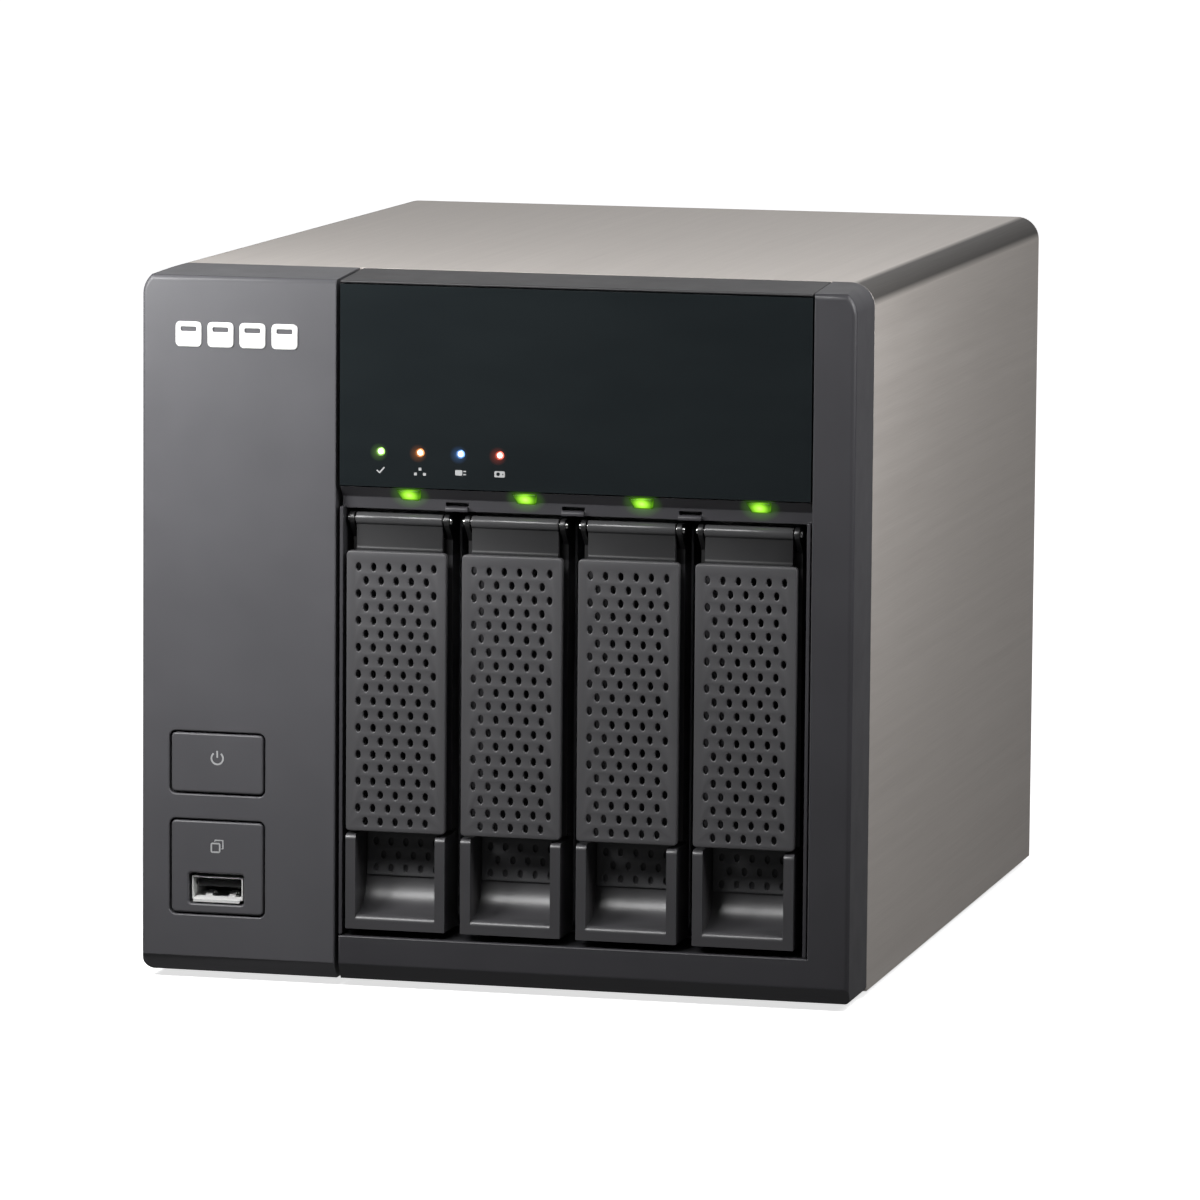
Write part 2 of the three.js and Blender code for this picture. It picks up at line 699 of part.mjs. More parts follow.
function makeFrontUsbTongue() {
  const plug = usbTube(PORT_WALL + GAP / 2, USB_BACK - USB_PLUG_LENGTH, USB_BACK);
  const tongue = block(
    USB_MIDDLE_X - USB_TONGUE.half,
    USB_MIDDLE_X + USB_TONGUE.half,
    USB_FRONT + USB_TONGUE.recess,
    USB_BACK - USB_PLUG_LENGTH + OVERLAP,
    USB_MIDDLE_Z + USB_TONGUE.bottom,
    USB_MIDDLE_Z + USB_TONGUE.top,
  );
  return join(plug, tongue);
}

// ---------------------------------------------------------------- drive trays

const EDGE_ROUNDING = 1.4; // the scoop's front lip and the tops of its arms
const LIP_HEIGHT = 3.5; // of the scoop's front lip
const SCOOP_RISE = 12; // how far the curved floor climbs to the back wall
const HEAD_FRONT = 6.5; // front of the tray's head, behind the lever
const HEAD_BACK = SCOOP_DEPTH + 2;
const ARM_WIDTH = 2.5;
const EAR_WIDTH = 1.2;
const EAR_NOSE = 1.6; // radius about the hinge pin
const EAR_FOOT = 5; // how far below the pin the ear meets the head

// The tray is drawn about the middle of its bay. Its lower front is a finger scoop:
// the floor curves from the rounded front lip up to the back wall of the recess.
function scoopSection() {
  const lip = TRAY_BOTTOM + LIP_HEIGHT;
  const wallTop = SCOOP_TOP + 3;
  const shape = new THREE.Shape();
  shape.moveTo(0, TRAY_BOTTOM);
  shape.lineTo(0, lip - EDGE_ROUNDING);
  shape.absarc(EDGE_ROUNDING, lip - EDGE_ROUNDING, EDGE_ROUNDING, Math.PI, Math.PI / 2, true);
  shape.quadraticCurveTo(SCOOP_DEPTH, lip, SCOOP_DEPTH, lip + SCOOP_RISE);
  shape.lineTo(SCOOP_DEPTH, wallTop);
  shape.lineTo(HEAD_BACK, wallTop);
  shape.lineTo(HEAD_BACK, TRAY_BOTTOM);
  return shape;
}

function armSection() {
  const corner = SCOOP_TOP - EDGE_ROUNDING;
  const shape = new THREE.Shape();
  shape.moveTo(0, TRAY_BOTTOM);
  shape.lineTo(0, corner);
  shape.absarc(EDGE_ROUNDING, corner, EDGE_ROUNDING, Math.PI, Math.PI / 2, true);
  shape.lineTo(HEAD_BACK, SCOOP_TOP);
  shape.lineTo(HEAD_BACK, TRAY_BOTTOM);
  return shape;
}

// An ear beside the lever: a round nose about the hinge pin that falls away below it.
function earSection() {
  const bottom = LEVER_TOP + 0.8;
  const shape = new THREE.Shape();
  shape.moveTo(HEAD_BACK, bottom);
  shape.lineTo(HEAD_BACK, HINGE_Z + EAR_NOSE);
  shape.absarc(HINGE_Y, HINGE_Z, EAR_NOSE, 0.5 * Math.PI, 1.25 * Math.PI);
  shape.lineTo(HEAD_FRONT, HINGE_Z - EAR_FOOT);
  shape.lineTo(HEAD_FRONT, bottom);
  return shape;
}

// A strip along one side edge of the tray, as its left and right ends.
function sideStrip(side, width) {
  const ends = [side * TRAY_HALF_WIDTH, side * (TRAY_HALF_WIDTH - width)];
  return [Math.min(...ends), Math.max(...ends)];
}

const RAIL = { half: 11, thickness: 1.6, driveGap: 0.2, backMargin: 3 };

// The two rails hold the drive from below and from above.
function trayRails() {
  const { half, thickness, driveGap, backMargin } = RAIL;
  const front = HEAD_BACK - 2;
  const back = DRIVE_FRONT + DRIVE_LENGTH - backMargin;
  const lowerTop = DRIVE_BOTTOM - driveGap;
  const upperBottom = DRIVE_BOTTOM + DRIVE_HEIGHT + driveGap;
  return [
    block(-half, half, front, back, lowerTop - thickness, lowerTop),
    block(-half, half, front, back, upperBottom, upperBottom + thickness),
  ];
}

function makeTray() {
  const edge = TRAY_HALF_WIDTH;
  const headTop = LEVER_TOP + 3;
  const neckHalf = edge - EAR_WIDTH;
  const neckFront = 9;
  const parts = [
    sideways(scoopSection(), -edge, edge, 14),
    block(-edge, edge, HEAD_FRONT, HEAD_BACK, SCOOP_TOP + 1, headTop),
    block(-neckHalf, neckHalf, neckFront, HEAD_BACK, LEVER_TOP, BAY_TOP - GAP),
    ...trayRails(),
  ];
  for (const side of [-1, 1]) {
    parts.push(sideways(armSection(), ...sideStrip(side, ARM_WIDTH)));
    parts.push(sideways(earSection(), ...sideStrip(side, EAR_WIDTH)));
  }
  const bore = rodAlongX(-WIDTH, WIDTH, HINGE_Y, HINGE_Z, PIN_RADIUS + PIN_CLEARANCE / 2, 16);
  return cut(join(...parts), bore);
}

const LEVER_NECK = { half: HINGE_BAR_HALF - 0.1, front: 2.9, back: 4.4, drop: 3, rise: 1 };

function makeTrayHandle() {
  const plate = block(
    -TRAY_HALF_WIDTH,
    TRAY_HALF_WIDTH,
    0,
    LEVER_THICKNESS,
    LEVER_BOTTOM,
    LEVER_TOP,
  );
  const { half, front, back, drop, rise } = LEVER_NECK;
  const plateBack = LEVER_THICKNESS - OVERLAP;
  const neck = block(-half, half, plateBack, back, LEVER_TOP - drop, LEVER_TOP + rise);
  const strap = block(-half, half, front, back, LEVER_TOP, HINGE_Z);
  const bar = rodAlongX(-HINGE_BAR_HALF, HINGE_BAR_HALF, HINGE_Y, HINGE_Z, HINGE_BAR_RADIUS, 16);
  const bore = rodAlongX(-WIDTH, WIDTH, HINGE_Y, HINGE_Z, PIN_RADIUS + PIN_CLEARANCE, 16);
  return cut(join(plate, neck, strap, bar), bore);
}

const PIN_OVERHANG = 0.6; // of the hinge pin past each side of the tray

function makeHingePin() {
  const half = TRAY_HALF_WIDTH + PIN_OVERHANG;
  return rodAlongX(-half, half, HINGE_Y, HINGE_Z, PIN_RADIUS, 16);
}

const SOCKET = { left: 5.6, right: 10.6, bottom: 20, top: 58, reach: 7 };
const SOCKET_SLOT = { half: 0.9, depth: 5, endMargin: 2 };
const BACKPLANE_Y = 168;
const DRIVE_CORNER = 2;
const DRIVE_LID = { edge: 4, step: 1.2 }; // rim left lower round the drive's raised lid

function makeHardDrive() {
  const half = DRIVE_WIDTH / 2;
  const back = DRIVE_FRONT + DRIVE_LENGTH;
  const top = DRIVE_BOTTOM + DRIVE_HEIGHT;
  const radii = Array(4).fill(DRIVE_CORNER);
  const shape = roundedRectangle(DRIVE_FRONT, back, DRIVE_BOTTOM, top, radii);
  const body = sideways(shape, -half, half, 3);
  const { edge, step } = DRIVE_LID;
  const lidStep = cut(
    block(
      -half - OVERCUT,
      -half + step,
      DRIVE_FRONT - OVERCUT,
      back + OVERCUT,
      DRIVE_BOTTOM - OVERCUT,
      top + OVERCUT,
    ),
    block(
      -half - 2 * OVERCUT,
      -half + step + OVERCUT,
      DRIVE_FRONT + edge,
      back - edge,
      DRIVE_BOTTOM + edge,
      top - edge,
    ),
  );
  const clearance = 0.5;
  const notch = block(
    SOCKET.left - clearance,
    half + OVERCUT,
    back - SOCKET.reach - clearance,
    back + OVERCUT,
    SOCKET.bottom - clearance,
    SOCKET.top + clearance,
  );
  return cut(body, lidStep, notch);
}

function makeSataConnector() {
  const front = DRIVE_FRONT + DRIVE_LENGTH - SOCKET.reach;
  const body = block(
    SOCKET.left,
    SOCKET.right,
    front,
    BACKPLANE_Y - GAP,
    SOCKET.bottom,
    SOCKET.top,
  );
  const middle = (SOCKET.left + SOCKET.right) / 2;
  const slot = block(
    middle - SOCKET_SLOT.half,
    middle + SOCKET_SLOT.half,
    front - OVERCUT,
    front + SOCKET_SLOT.depth,
    SOCKET.bottom + SOCKET_SLOT.endMargin,
    SOCKET.top - SOCKET_SLOT.endMargin,
  );
  return cut(body, slot);
}

// ---------------------------------------------------------------- cage and boards

const CAGE_FLOOR = OPENING_BOTTOM + 0.4;
const CAGE_CEILING = BAY_TOP - 0.1;
const CAGE_RIB = { half: 2.5, height: 1.5 }; // between neighbouring trays
const CAGE_VENTS = { count: 4, front: 40, length: 20, pitch: 30, bottom: 35, top: 100 };

function makeDriveCage() {
  const innerLeft = OPENING_LEFT + GAP + POST_WIDTH;
  const innerRight = OPENING_RIGHT - GAP - POST_WIDTH;
  const left = innerLeft - SHEET;
  const right = innerRight + SHEET;
  const before = CAGE_FRONT - OVERCUT;
  const after = CAGE_BACK + OVERCUT;
  const walls = cut(
    block(left, right, CAGE_FRONT, CAGE_BACK, SHEET + GAP, CAGE_CEILING + SHEET),
    block(innerLeft, innerRight, before, after, CAGE_FLOOR, CAGE_CEILING),
    block(innerLeft, innerRight, before, after, 0, CAGE_FLOOR - SHEET),
  );
  const lower = [CAGE_FLOOR - OVERLAP, CAGE_FLOOR + CAGE_RIB.height];
  const upper = [CAGE_CEILING - CAGE_RIB.height, CAGE_CEILING + OVERLAP];
  const ribs = [];
  for (const centre of BAYS.slice(0, -1)) {
    const divider = centre + BAY_PITCH / 2;
    const [a, b] = [divider - CAGE_RIB.half, divider + CAGE_RIB.half];
    ribs.push(block(a, b, CAGE_FRONT, CAGE_BACK, ...lower));
    ribs.push(block(a, b, CAGE_FRONT, CAGE_BACK, ...upper));
  }
  const vents = [];
  for (let i = 0; i < CAGE_VENTS.count; i += 1) {
    const front = CAGE_VENTS.front + i * CAGE_VENTS.pitch;
    const back = front + CAGE_VENTS.length;
    const [ventLeft, ventRight] = [left - OVERCUT, right + OVERCUT];
    vents.push(block(ventLeft, ventRight, front, back, CAGE_VENTS.bottom, CAGE_VENTS.top));
  }
  return cut(join(walls, ...ribs), ...vents);
}

// An air opening in the backplane behind each drive, about the middle of its bay
const BACKPLANE = { left: -37.5, right: 77.5, bottom: 14, top: 116 };
const BACKPLANE_VENT = { left: -9, right: 3, bottom: 66, top: 110 };

function makeBackplaneBoard() {
  const { left, right, bottom, top } = BACKPLANE;
  const back = BACKPLANE_Y + BOARD;
  const vents = BAYS.map((x) =>
    block(
      x + BACKPLANE_VENT.left,
      x + BACKPLANE_VENT.right,
      BACKPLANE_Y - OVERCUT,
      back + OVERCUT,
      BACKPLANE_VENT.bottom,
      BACKPLANE_VENT.top,
    ),
  );
  return cut(block(left, right, BACKPLANE_Y, back, bottom, top), ...vents);
}

// The mainboard stands upright behind the left fascia, its components facing inwards.
// Places are given by depth (front, back) and height (bottom, top).
const BOARD_FACE = MAINBOARD_X + BOARD;
const MAINBOARD = { front: 35, back: 225, bottom: 14, top: 160 };
const MEMORY_SOCKET = { front: 60, back: 136, bottom: 128, top: 135, height: 6 };
const CHIPSET = { front: 150, back: 172, bottom: 120, top: 142, height: 2.2 };
const BACKPLANE_PLUG = { front: 62, back: 84, bottom: 24, top: 34, height: 9 };
const CAPACITORS = { count: 4, front: 108, pitch: 12, z: 26, radius: 4, height: 12 };
const HEATSINK = { front: 90, back: 150, bottom: 50, top: 110, base: 4, reach: 26 };
const HEATSINK_FINS = { count: 10, pitch: 6.5, thickness: 1.5 };
const MEMORY = { front: 64, back: 131.6, bottom: 130.8, thickness: 1.2, reach: 24 };
const MEMORY_CHIPS = { count: 4, front: 68, length: 11, pitch: 15.5, low: 8, high: 19, height: 1 };

function onBoard({ front, back, bottom, top, height }) {
  return block(BOARD_FACE - OVERLAP, BOARD_FACE + height, front, back, bottom, top);
}

function makeMainboard() {
  const { front, back, bottom, top } = MAINBOARD;
  const parts = [
    block(MAINBOARD_X, BOARD_FACE, front, back, bottom, top),
    onBoard(MEMORY_SOCKET),
    onBoard(CHIPSET),
    onBoard(BACKPLANE_PLUG),
  ];
  const { radius, height, z } = CAPACITORS;
  for (let i = 0; i < CAPACITORS.count; i += 1) {
    const y = CAPACITORS.front + i * CAPACITORS.pitch;
    parts.push(rodAlongX(BOARD_FACE - OVERLAP, BOARD_FACE + height, y, z, radius, 10));
  }
  return join(...parts);
}

function makeCpuHeatsink() {
  const { front, back, bottom, top, base, reach } = HEATSINK;
  const foot = BOARD_FACE + GAP;
  const parts = [block(foot, foot + base, front, back, bottom, top)];
  for (let i = 0; i < HEATSINK_FINS.count; i += 1) {
    const z = bottom + i * HEATSINK_FINS.pitch;
    const finTop = z + HEATSINK_FINS.thickness;
    parts.push(block(foot + base - OVERLAP, foot + reach, front, back, z, finTop));
  }
  return join(...parts);
}

function makeMemoryModule() {
  const { front, back, bottom, thickness, reach } = MEMORY;
  const left = BOARD_FACE + MEMORY_SOCKET.height + GAP;
  const top = bottom + thickness;
  const { count, length, pitch, low, high, height } = MEMORY_CHIPS;
  const parts = [block(left, left + reach, front, back, bottom, top)];
  for (let i = 0; i < count; i += 1) {
    const y = MEMORY_CHIPS.front + i * pitch;
    parts.push(block(left + low, left + high, y, y + length, top - OVERLAP, top + height));
  }
  return join(...parts);
}

const SOCKET_DEPTH = 11; // of the rear sockets' openings

// A bank of rear sockets: a block with two rows of openings facing backwards.
function makePortBlock({ bottom, top, width, columns, columnPitch, rowPitch, hole }) {
  const middleX = PORT_LEFT + width / 2;
  const middleZ = (bottom + top) / 2;
  const body = block(PORT_LEFT, PORT_LEFT + width, PORT_FRONT, PORT_BACK, bottom, top);
  const socket = block(
    -hole.width / 2,
    hole.width / 2,
    PORT_BACK - SOCKET_DEPTH,
    PORT_BACK + OVERCUT,
    -hole.height / 2,
    hole.height / 2,
  );
  const tools = [];
  for (let column = 0; column < columns; column += 1) {
    for (const side of [-0.5, 0.5]) {
      const x = middleX + (column - (columns - 1) / 2) * columnPitch;
      tools.push(socket.clone().translate(x, 0, middleZ + side * rowPitch));
    }
  }
  return cut(body, ...tools);
}

// ---------------------------------------------------------------- fans

const FAN_CORNER_HOLE = 41.25;
const FAN_CORNERS = [
  [-FAN_CORNER_HOLE, -FAN_CORNER_HOLE],
  [FAN_CORNER_HOLE, -FAN_CORNER_HOLE],
  [FAN_CORNER_HOLE, FAN_CORNER_HOLE],
  [-FAN_CORNER_HOLE, FAN_CORNER_HOLE],
];
const FAN_BACK = REAR_PANEL_FRONT - GAP;
const FAN_FRONT = FAN_BACK - FAN_DEPTH;
const FAN_BLADES = 7;
const BLADE_PITCH = { root: 35, twist: 20 }; // degrees from the wheel's axis
const FAN_WHEEL = { hubRadius: 17, tipRadius: 43, front: FAN_FRONT + 1.5, back: FAN_BACK - 4 };
const FAN_CORNER_RADIUS = 4;
const STATOR_THICKNESS = 3.5; // of the motor base behind the wheel
const STATOR_ARM = { inner: 16, outer: 45.2, half: 2 };

// A fan wheel about the y axis: a cup-shaped hub and pitched blades that twist outwards.
function fanWheel({ hubRadius, tipRadius, front, back }) {
  const hub = rodAlongY(0, 0, hubRadius, front, back, 24);
  const chord = (back - front) * 0.95;
  const rootRadius = hubRadius - 2 * OVERLAP;
  const span = tipRadius - rootRadius;
  const blades = [];
  for (let i = 0; i < FAN_BLADES; i += 1) {
    const blade = new THREE.BoxGeometry(span, chord, tipRadius / 25, 4, 1, 1);
    const position = blade.attributes.position;
    for (let v = 0; v < position.count; v += 1) {
      const along = position.getX(v) / span + 0.5;
      const pitch = THREE.MathUtils.degToRad(BLADE_PITCH.root + BLADE_PITCH.twist * along);
      const y = position.getY(v);
      const z = position.getZ(v);
      position.setY(v, y * Math.cos(pitch) - z * Math.sin(pitch));
      position.setZ(v, y * Math.sin(pitch) + z * Math.cos(pitch));
    }
    blade.translate((tipRadius + rootRadius) / 2, (front + back) / 2, 0);
    blade.rotateY((i * 2 * Math.PI) / FAN_BLADES);
    blades.push(blade);
  }
  return join(hub, ...blades);
}

function makeFanRotor() {
  return fanWheel(FAN_WHEEL).translate(OPENING_CENTRE, 0, FAN_CENTRE_Z);
}

function makeFanFrame() {
  const half = FAN_SIZE / 2;
  const radii = Array(4).fill(FAN_CORNER_RADIUS);
  const shape = roundedRectangle(-half, half, -half, half, radii);
  const duct = new THREE.Path();
  duct.absarc(0, 0, FAN_OPENING_RADIUS, 0, 2 * Math.PI, true);
  shape.holes.push(duct);
  for (const [dx, dz] of FAN_CORNERS) {
    const hole = new THREE.Path();
    hole.absarc(dx, dz, FAN_SCREW_RADIUS, 0, 2 * Math.PI, true);
    shape.holes.push(hole);
  }
  const ring = frontal(shape, FAN_FRONT, FAN_BACK, 12);
  const statorFront = FAN_BACK - STATOR_THICKNESS;
  const parts = [ring, rodAlongY(0, 0, FAN_WHEEL.hubRadius, statorFront, FAN_BACK, 24)];
  const { inner, outer, half: armHalf } = STATOR_ARM;
  for (let i = 0; i < 4; i += 1) {
    const strut = block(inner, outer, statorFront, FAN_BACK - 1, -armHalf, armHalf);
    parts.push(strut.rotateY(Math.PI / 4 + (i * Math.PI) / 2));
  }
  return join(...parts).translate(OPENING_CENTRE, 0, FAN_CENTRE_Z);
}

const GUARD = { wire: 0.7, rings: [12, 22, 32, 42], spokeStart: 11, eyeRadius: 3.2 };

function makeFanGuard() {
  const { wire, rings, spokeStart, eyeRadius } = GUARD;
  const middle = REAR_PANEL_BACK + GAP + wire;
  const parts = rings.map((radius) =>
    new THREE.TorusGeometry(radius, wire, 4, 24).rotateX(Math.PI / 2).translate(0, middle, 0),
  );
  for (const [dx, dz] of FAN_CORNERS) {
    const reach = Math.hypot(dx, dz);
    const spoke = new THREE.CylinderGeometry(wire, wire, reach - spokeStart, 4);
    spoke.rotateZ(Math.PI / 2).translate((reach + spokeStart) / 2, middle, 0);
    parts.push(spoke.rotateY(-Math.atan2(dz, dx)));
    parts.push(rodAlongY(dx, dz, eyeRadius, middle - wire, middle + wire, 8));
  }
  return join(...parts).translate(OPENING_CENTRE, 0, FAN_CENTRE_Z);
}

// ---------------------------------------------------------------- supply unit

const SUPPLY_BACK = REAR_PANEL_FRONT - GAP;
const SUPPLY_FRONT = SUPPLY_BACK - SUPPLY_LENGTH;
const SUPPLY_MIDDLE_Z = SUPPLY_BOTTOM + SUPPLY_HEIGHT / 2;
const SUPPLY_FAN_X = OPENING_CENTRE - 19;
const INLET_X = OPENING_CENTRE + 21;
const INLET = { halfWidth: 13.5, halfHeight: 10 };
const SUPPLY_SKIN = 1; // sheet thickness of the case
const SUPPLY_FAN_HOLE = 18; // radius
const SUPPLY_HUB_RADIUS = 8;
const SUPPLY_FAN_TIP = 17;
const SUPPLY_VENTS = { count: 8, margin: 8, width: 5, pitch: 8.5, bottom: 126, top: 152 };
const SUPPLY_GUARD = { hub: 7, armHalf: 0.8, armReach: 18.6 };

function makePsuCase() {
  const skin = SUPPLY_SKIN;
  const cutFrom = SUPPLY_BACK - skin - OVERCUT;
  const cutTo = SUPPLY_BACK + OVERCUT;
  const body = cut(
    block(SUPPLY_LEFT, SUPPLY_RIGHT, SUPPLY_FRONT, SUPPLY_BACK, SUPPLY_BOTTOM, SUPPLY_TOP),
    block(
      SUPPLY_LEFT + skin,
      SUPPLY_RIGHT - skin,
      SUPPLY_FRONT + skin,
      SUPPLY_BACK - skin,
      SUPPLY_BOTTOM + skin,
      SUPPLY_TOP - skin,
    ),
    rodAlongY(SUPPLY_FAN_X, SUPPLY_MIDDLE_Z, SUPPLY_FAN_HOLE, cutFrom, cutTo, 28),
    block(
      INLET_X - INLET.halfWidth - GAP,
      INLET_X + INLET.halfWidth + GAP,
      cutFrom,
      cutTo,
      SUPPLY_MIDDLE_Z - INLET.halfHeight - GAP,
      SUPPLY_MIDDLE_Z + INLET.halfHeight + GAP,
    ),
  );
  const vents = [];
  const [ventFront, ventBack] = [SUPPLY_FRONT - OVERCUT, SUPPLY_FRONT + skin + OVERCUT];
  for (let i = 0; i < SUPPLY_VENTS.count; i += 1) {
    const left = SUPPLY_LEFT + SUPPLY_VENTS.margin + i * SUPPLY_VENTS.pitch;
    const right = left + SUPPLY_VENTS.width;
    vents.push(block(left, right, ventFront, ventBack, SUPPLY_VENTS.bottom, SUPPLY_VENTS.top));
  }
  const guardFront = SUPPLY_BACK - skin;
  const { hub, armHalf, armReach } = SUPPLY_GUARD;
  const guard = [rodAlongY(SUPPLY_FAN_X, SUPPLY_MIDDLE_Z, hub, guardFront, SUPPLY_BACK, 20)];
  for (let i = 0; i < 4; i += 1) {
    const strut = block(hub - OVERLAP, armReach, guardFront, SUPPLY_BACK, -armHalf, armHalf);
    const placed = strut.rotateY((i * Math.PI) / 2);
    guard.push(placed.translate(SUPPLY_FAN_X, 0, SUPPLY_MIDDLE_Z));
  }
  return join(cut(body, ...vents), ...guard);
}

function makePsuFanRotor() {
  const wheel = fanWheel({
    hubRadius: SUPPLY_HUB_RADIUS,
    tipRadius: SUPPLY_FAN_TIP,
    front: SUPPLY_BACK - 13,
    back: SUPPLY_BACK - 1.6,
  });
  return wheel.translate(SUPPLY_FAN_X, 0, SUPPLY_MIDDLE_Z);
}

const INLET_BLADE = { halfThickness: 1, halfHeight: 2.2 };

// The mains inlet: a flanged socket with three blades and two bevelled upper corners.
function makePsuInlet() {
  const { halfWidth, halfHeight } = INLET;
  const flangeBack = REAR_PANEL_BACK + 1.2;
  const body = block(-halfWidth, halfWidth, SUPPLY_BACK - 15, flangeBack, -halfHeight, halfHeight);
  const flangeHalfWidth = halfWidth + 2;
  const flangeHalfHeight = halfHeight + 2;
  const flange = block(
    -flangeHalfWidth,
    flangeHalfWidth,
    SUPPLY_BACK + GAP,
    flangeBack,
    -flangeHalfHeight,
    flangeHalfHeight,
  );
  const wall = 1.6;
  const bevel = 4.5;
  const w = halfWidth - wall;
  const h = halfHeight - wall;
  const cavity = outline([
    [-w, -h],
    [w, -h],
    [w, h - bevel],
    [w - bevel, h],
    [-w + bevel, h],
    [-w, h - bevel],
  ]);
  const hollow = cut(join(body, flange), frontal(cavity, SUPPLY_BACK - 12.5, flangeBack + 1));
  const blades = [
    [-7, -2],
    [0, 2],
    [7, -2],
  ].map(([x, z]) => {
    const { halfThickness, halfHeight: half } = INLET_BLADE;
    const [front, back] = [SUPPLY_BACK - 13.5, flangeBack - 1.5];
    return block(x - halfThickness, x + halfThickness, front, back, z - half, z + half);
  });
  return join(hollow, ...blades).translate(INLET_X, 0, SUPPLY_MIDDLE_Z);
}

// ---------------------------------------------------------------- feet

const FOOT_PLACES = [
  [-68, 42],
  [68, 42],
  [68, 213],
  [-68, 213],
];

const FOOT = { baseRadius: 6.6, edgeRadius: 7.2, topRadius: 7.5, chamfer: 0.5 };

function makeFoot([x, y]) {
  const profile = [
    [0, -FOOT_HEIGHT],
    [FOOT.baseRadius, -FOOT_HEIGHT],
    [FOOT.edgeRadius, -FOOT_HEIGHT + FOOT.chamfer],
    [FOOT.topRadius, 0],
    [0, 0],
  ];
  const points = profile.map(([radius, z]) => new THREE.Vector2(radius, z));
  return new THREE.LatheGeometry(points, 24).rotateX(Math.PI / 2).translate(x, y, 0);
}

// ---------------------------------------------------------------- assembly

const enclosure = new THREE.Group();
enclosure.position.set(0, -DEPTH / 2, FOOT_HEIGHT);

piece(enclosure, "outer_cover", makeOuterCover(), brushedMetal);
piece(enclosure, "base_plate", makeBasePlate(), zincSheet);
piece(enclosure, "rear_panel", makeRearPanel(), zincSheet);
piece(enclosure, "left_fascia", makeLeftFascia(), fasciaPlastic);
piece(enclosure, "bezel_frame", makeBezelFrame(), framePlastic);
piece(enclosure, "top_trim", makeTopTrim(), trimPlastic);
piece(enclosure, "display_window", makeDisplayWindow(), glossBlack);
piece(enclosure, "bay_surround", makeBaySurround(), framePlastic);
piece(enclosure, "status_light_guide", makeStatusLightGuide(), clearLens);

piece(enclosure, "power_button", makePowerButton(), fasciaPlastic);
piece(enclosure, "copy_button", makeCopyButton(), fasciaPlastic);
piece(enclosure, "front_board", makeFrontBoard(), boardGreen);
piece(enclosure, "power_switch", makeSwitch((POWER_KEY.bottom + POWER_KEY.top) / 2), blackPlastic);
piece(enclosure, "copy_switch", makeSwitch(COPY_SWITCH_Z), blackPlastic);
piece(enclosure, "front_usb_shell", makeFrontUsbShell(), polishedSteel);
piece(enclosure, "front_usb_tongue", makeFrontUsbTongue(), blackPlastic);

piece(enclosure, "drive_cage", makeDriveCage(), zincSheet);
piece(enclosure, "backplane_board", makeBackplaneBoard(), boardGreen);
piece(enclosure, "mainboard", makeMainboard(), boardGreen);
piece(enclosure, "cpu_heatsink", makeCpuHeatsink(), castAluminium);
piece(enclosure, "memory_module", makeMemoryModule(), boardGreen);
for (const [name, port] of Object.entries(PORT_BLOCKS)) {
  piece(enclosure, name, makePortBlock(port), polishedSteel);
}

piece(enclosure, "fan_frame", makeFanFrame(), blackPlastic);
piece(enclosure, "fan_rotor", makeFanRotor(), blackPlastic);
piece(enclosure, "fan_guard", makeFanGuard(), polishedSteel);
piece(enclosure, "psu_case", makePsuCase(), zincSheet);
piece(enclosure, "psu_fan_rotor", makePsuFanRotor(), blackPlastic);
piece(enclosure, "psu_inlet", makePsuInlet(), blackPlastic);

for (const [i, side] of [-1, 1].entries()) {
  piece(enclosure, `cover_screw_${i + 1}`, makeCoverScrew(side), polishedSteel);
}
for (const [i, place] of FOOT_PLACES.entries()) {
  piece(enclosure, `foot_${i + 1}`, makeFoot(place), footRubber);
}
for (const [i, centre] of BAYS.entries()) {
  const bay = new THREE.Group();
  bay.position.x = centre;
  const number = i + 1;
  piece(bay, `tray_${number}`, makeTray(), trayPlastic);
  piece(bay, `tray_handle_${number}`, makeTrayHandle(), leverPlastic);
  piece(bay, `hinge_pin_${number}`, makeHingePin(), polishedSteel);
  piece(bay, `hard_drive_${number}`, makeHardDrive(), castAluminium);
  piece(bay, `sata_connector_${number}`, makeSataConnector(), blackPlastic);
  piece(bay, `disk_light_${number}`, makeDiskLight(DISK_LIGHT_OFFSET), greenLens);
  enclosure.add(bay);
}

export default enclosure;
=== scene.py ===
"""Looks of a four-bay network storage enclosure, built around its packed design.

Metres, +Z up, front facing -Y. Lengths are written in millimetres times MM.
"""

import json
import math

import bmesh
import bpy
from mathutils import Matrix, Quaternion, Vector


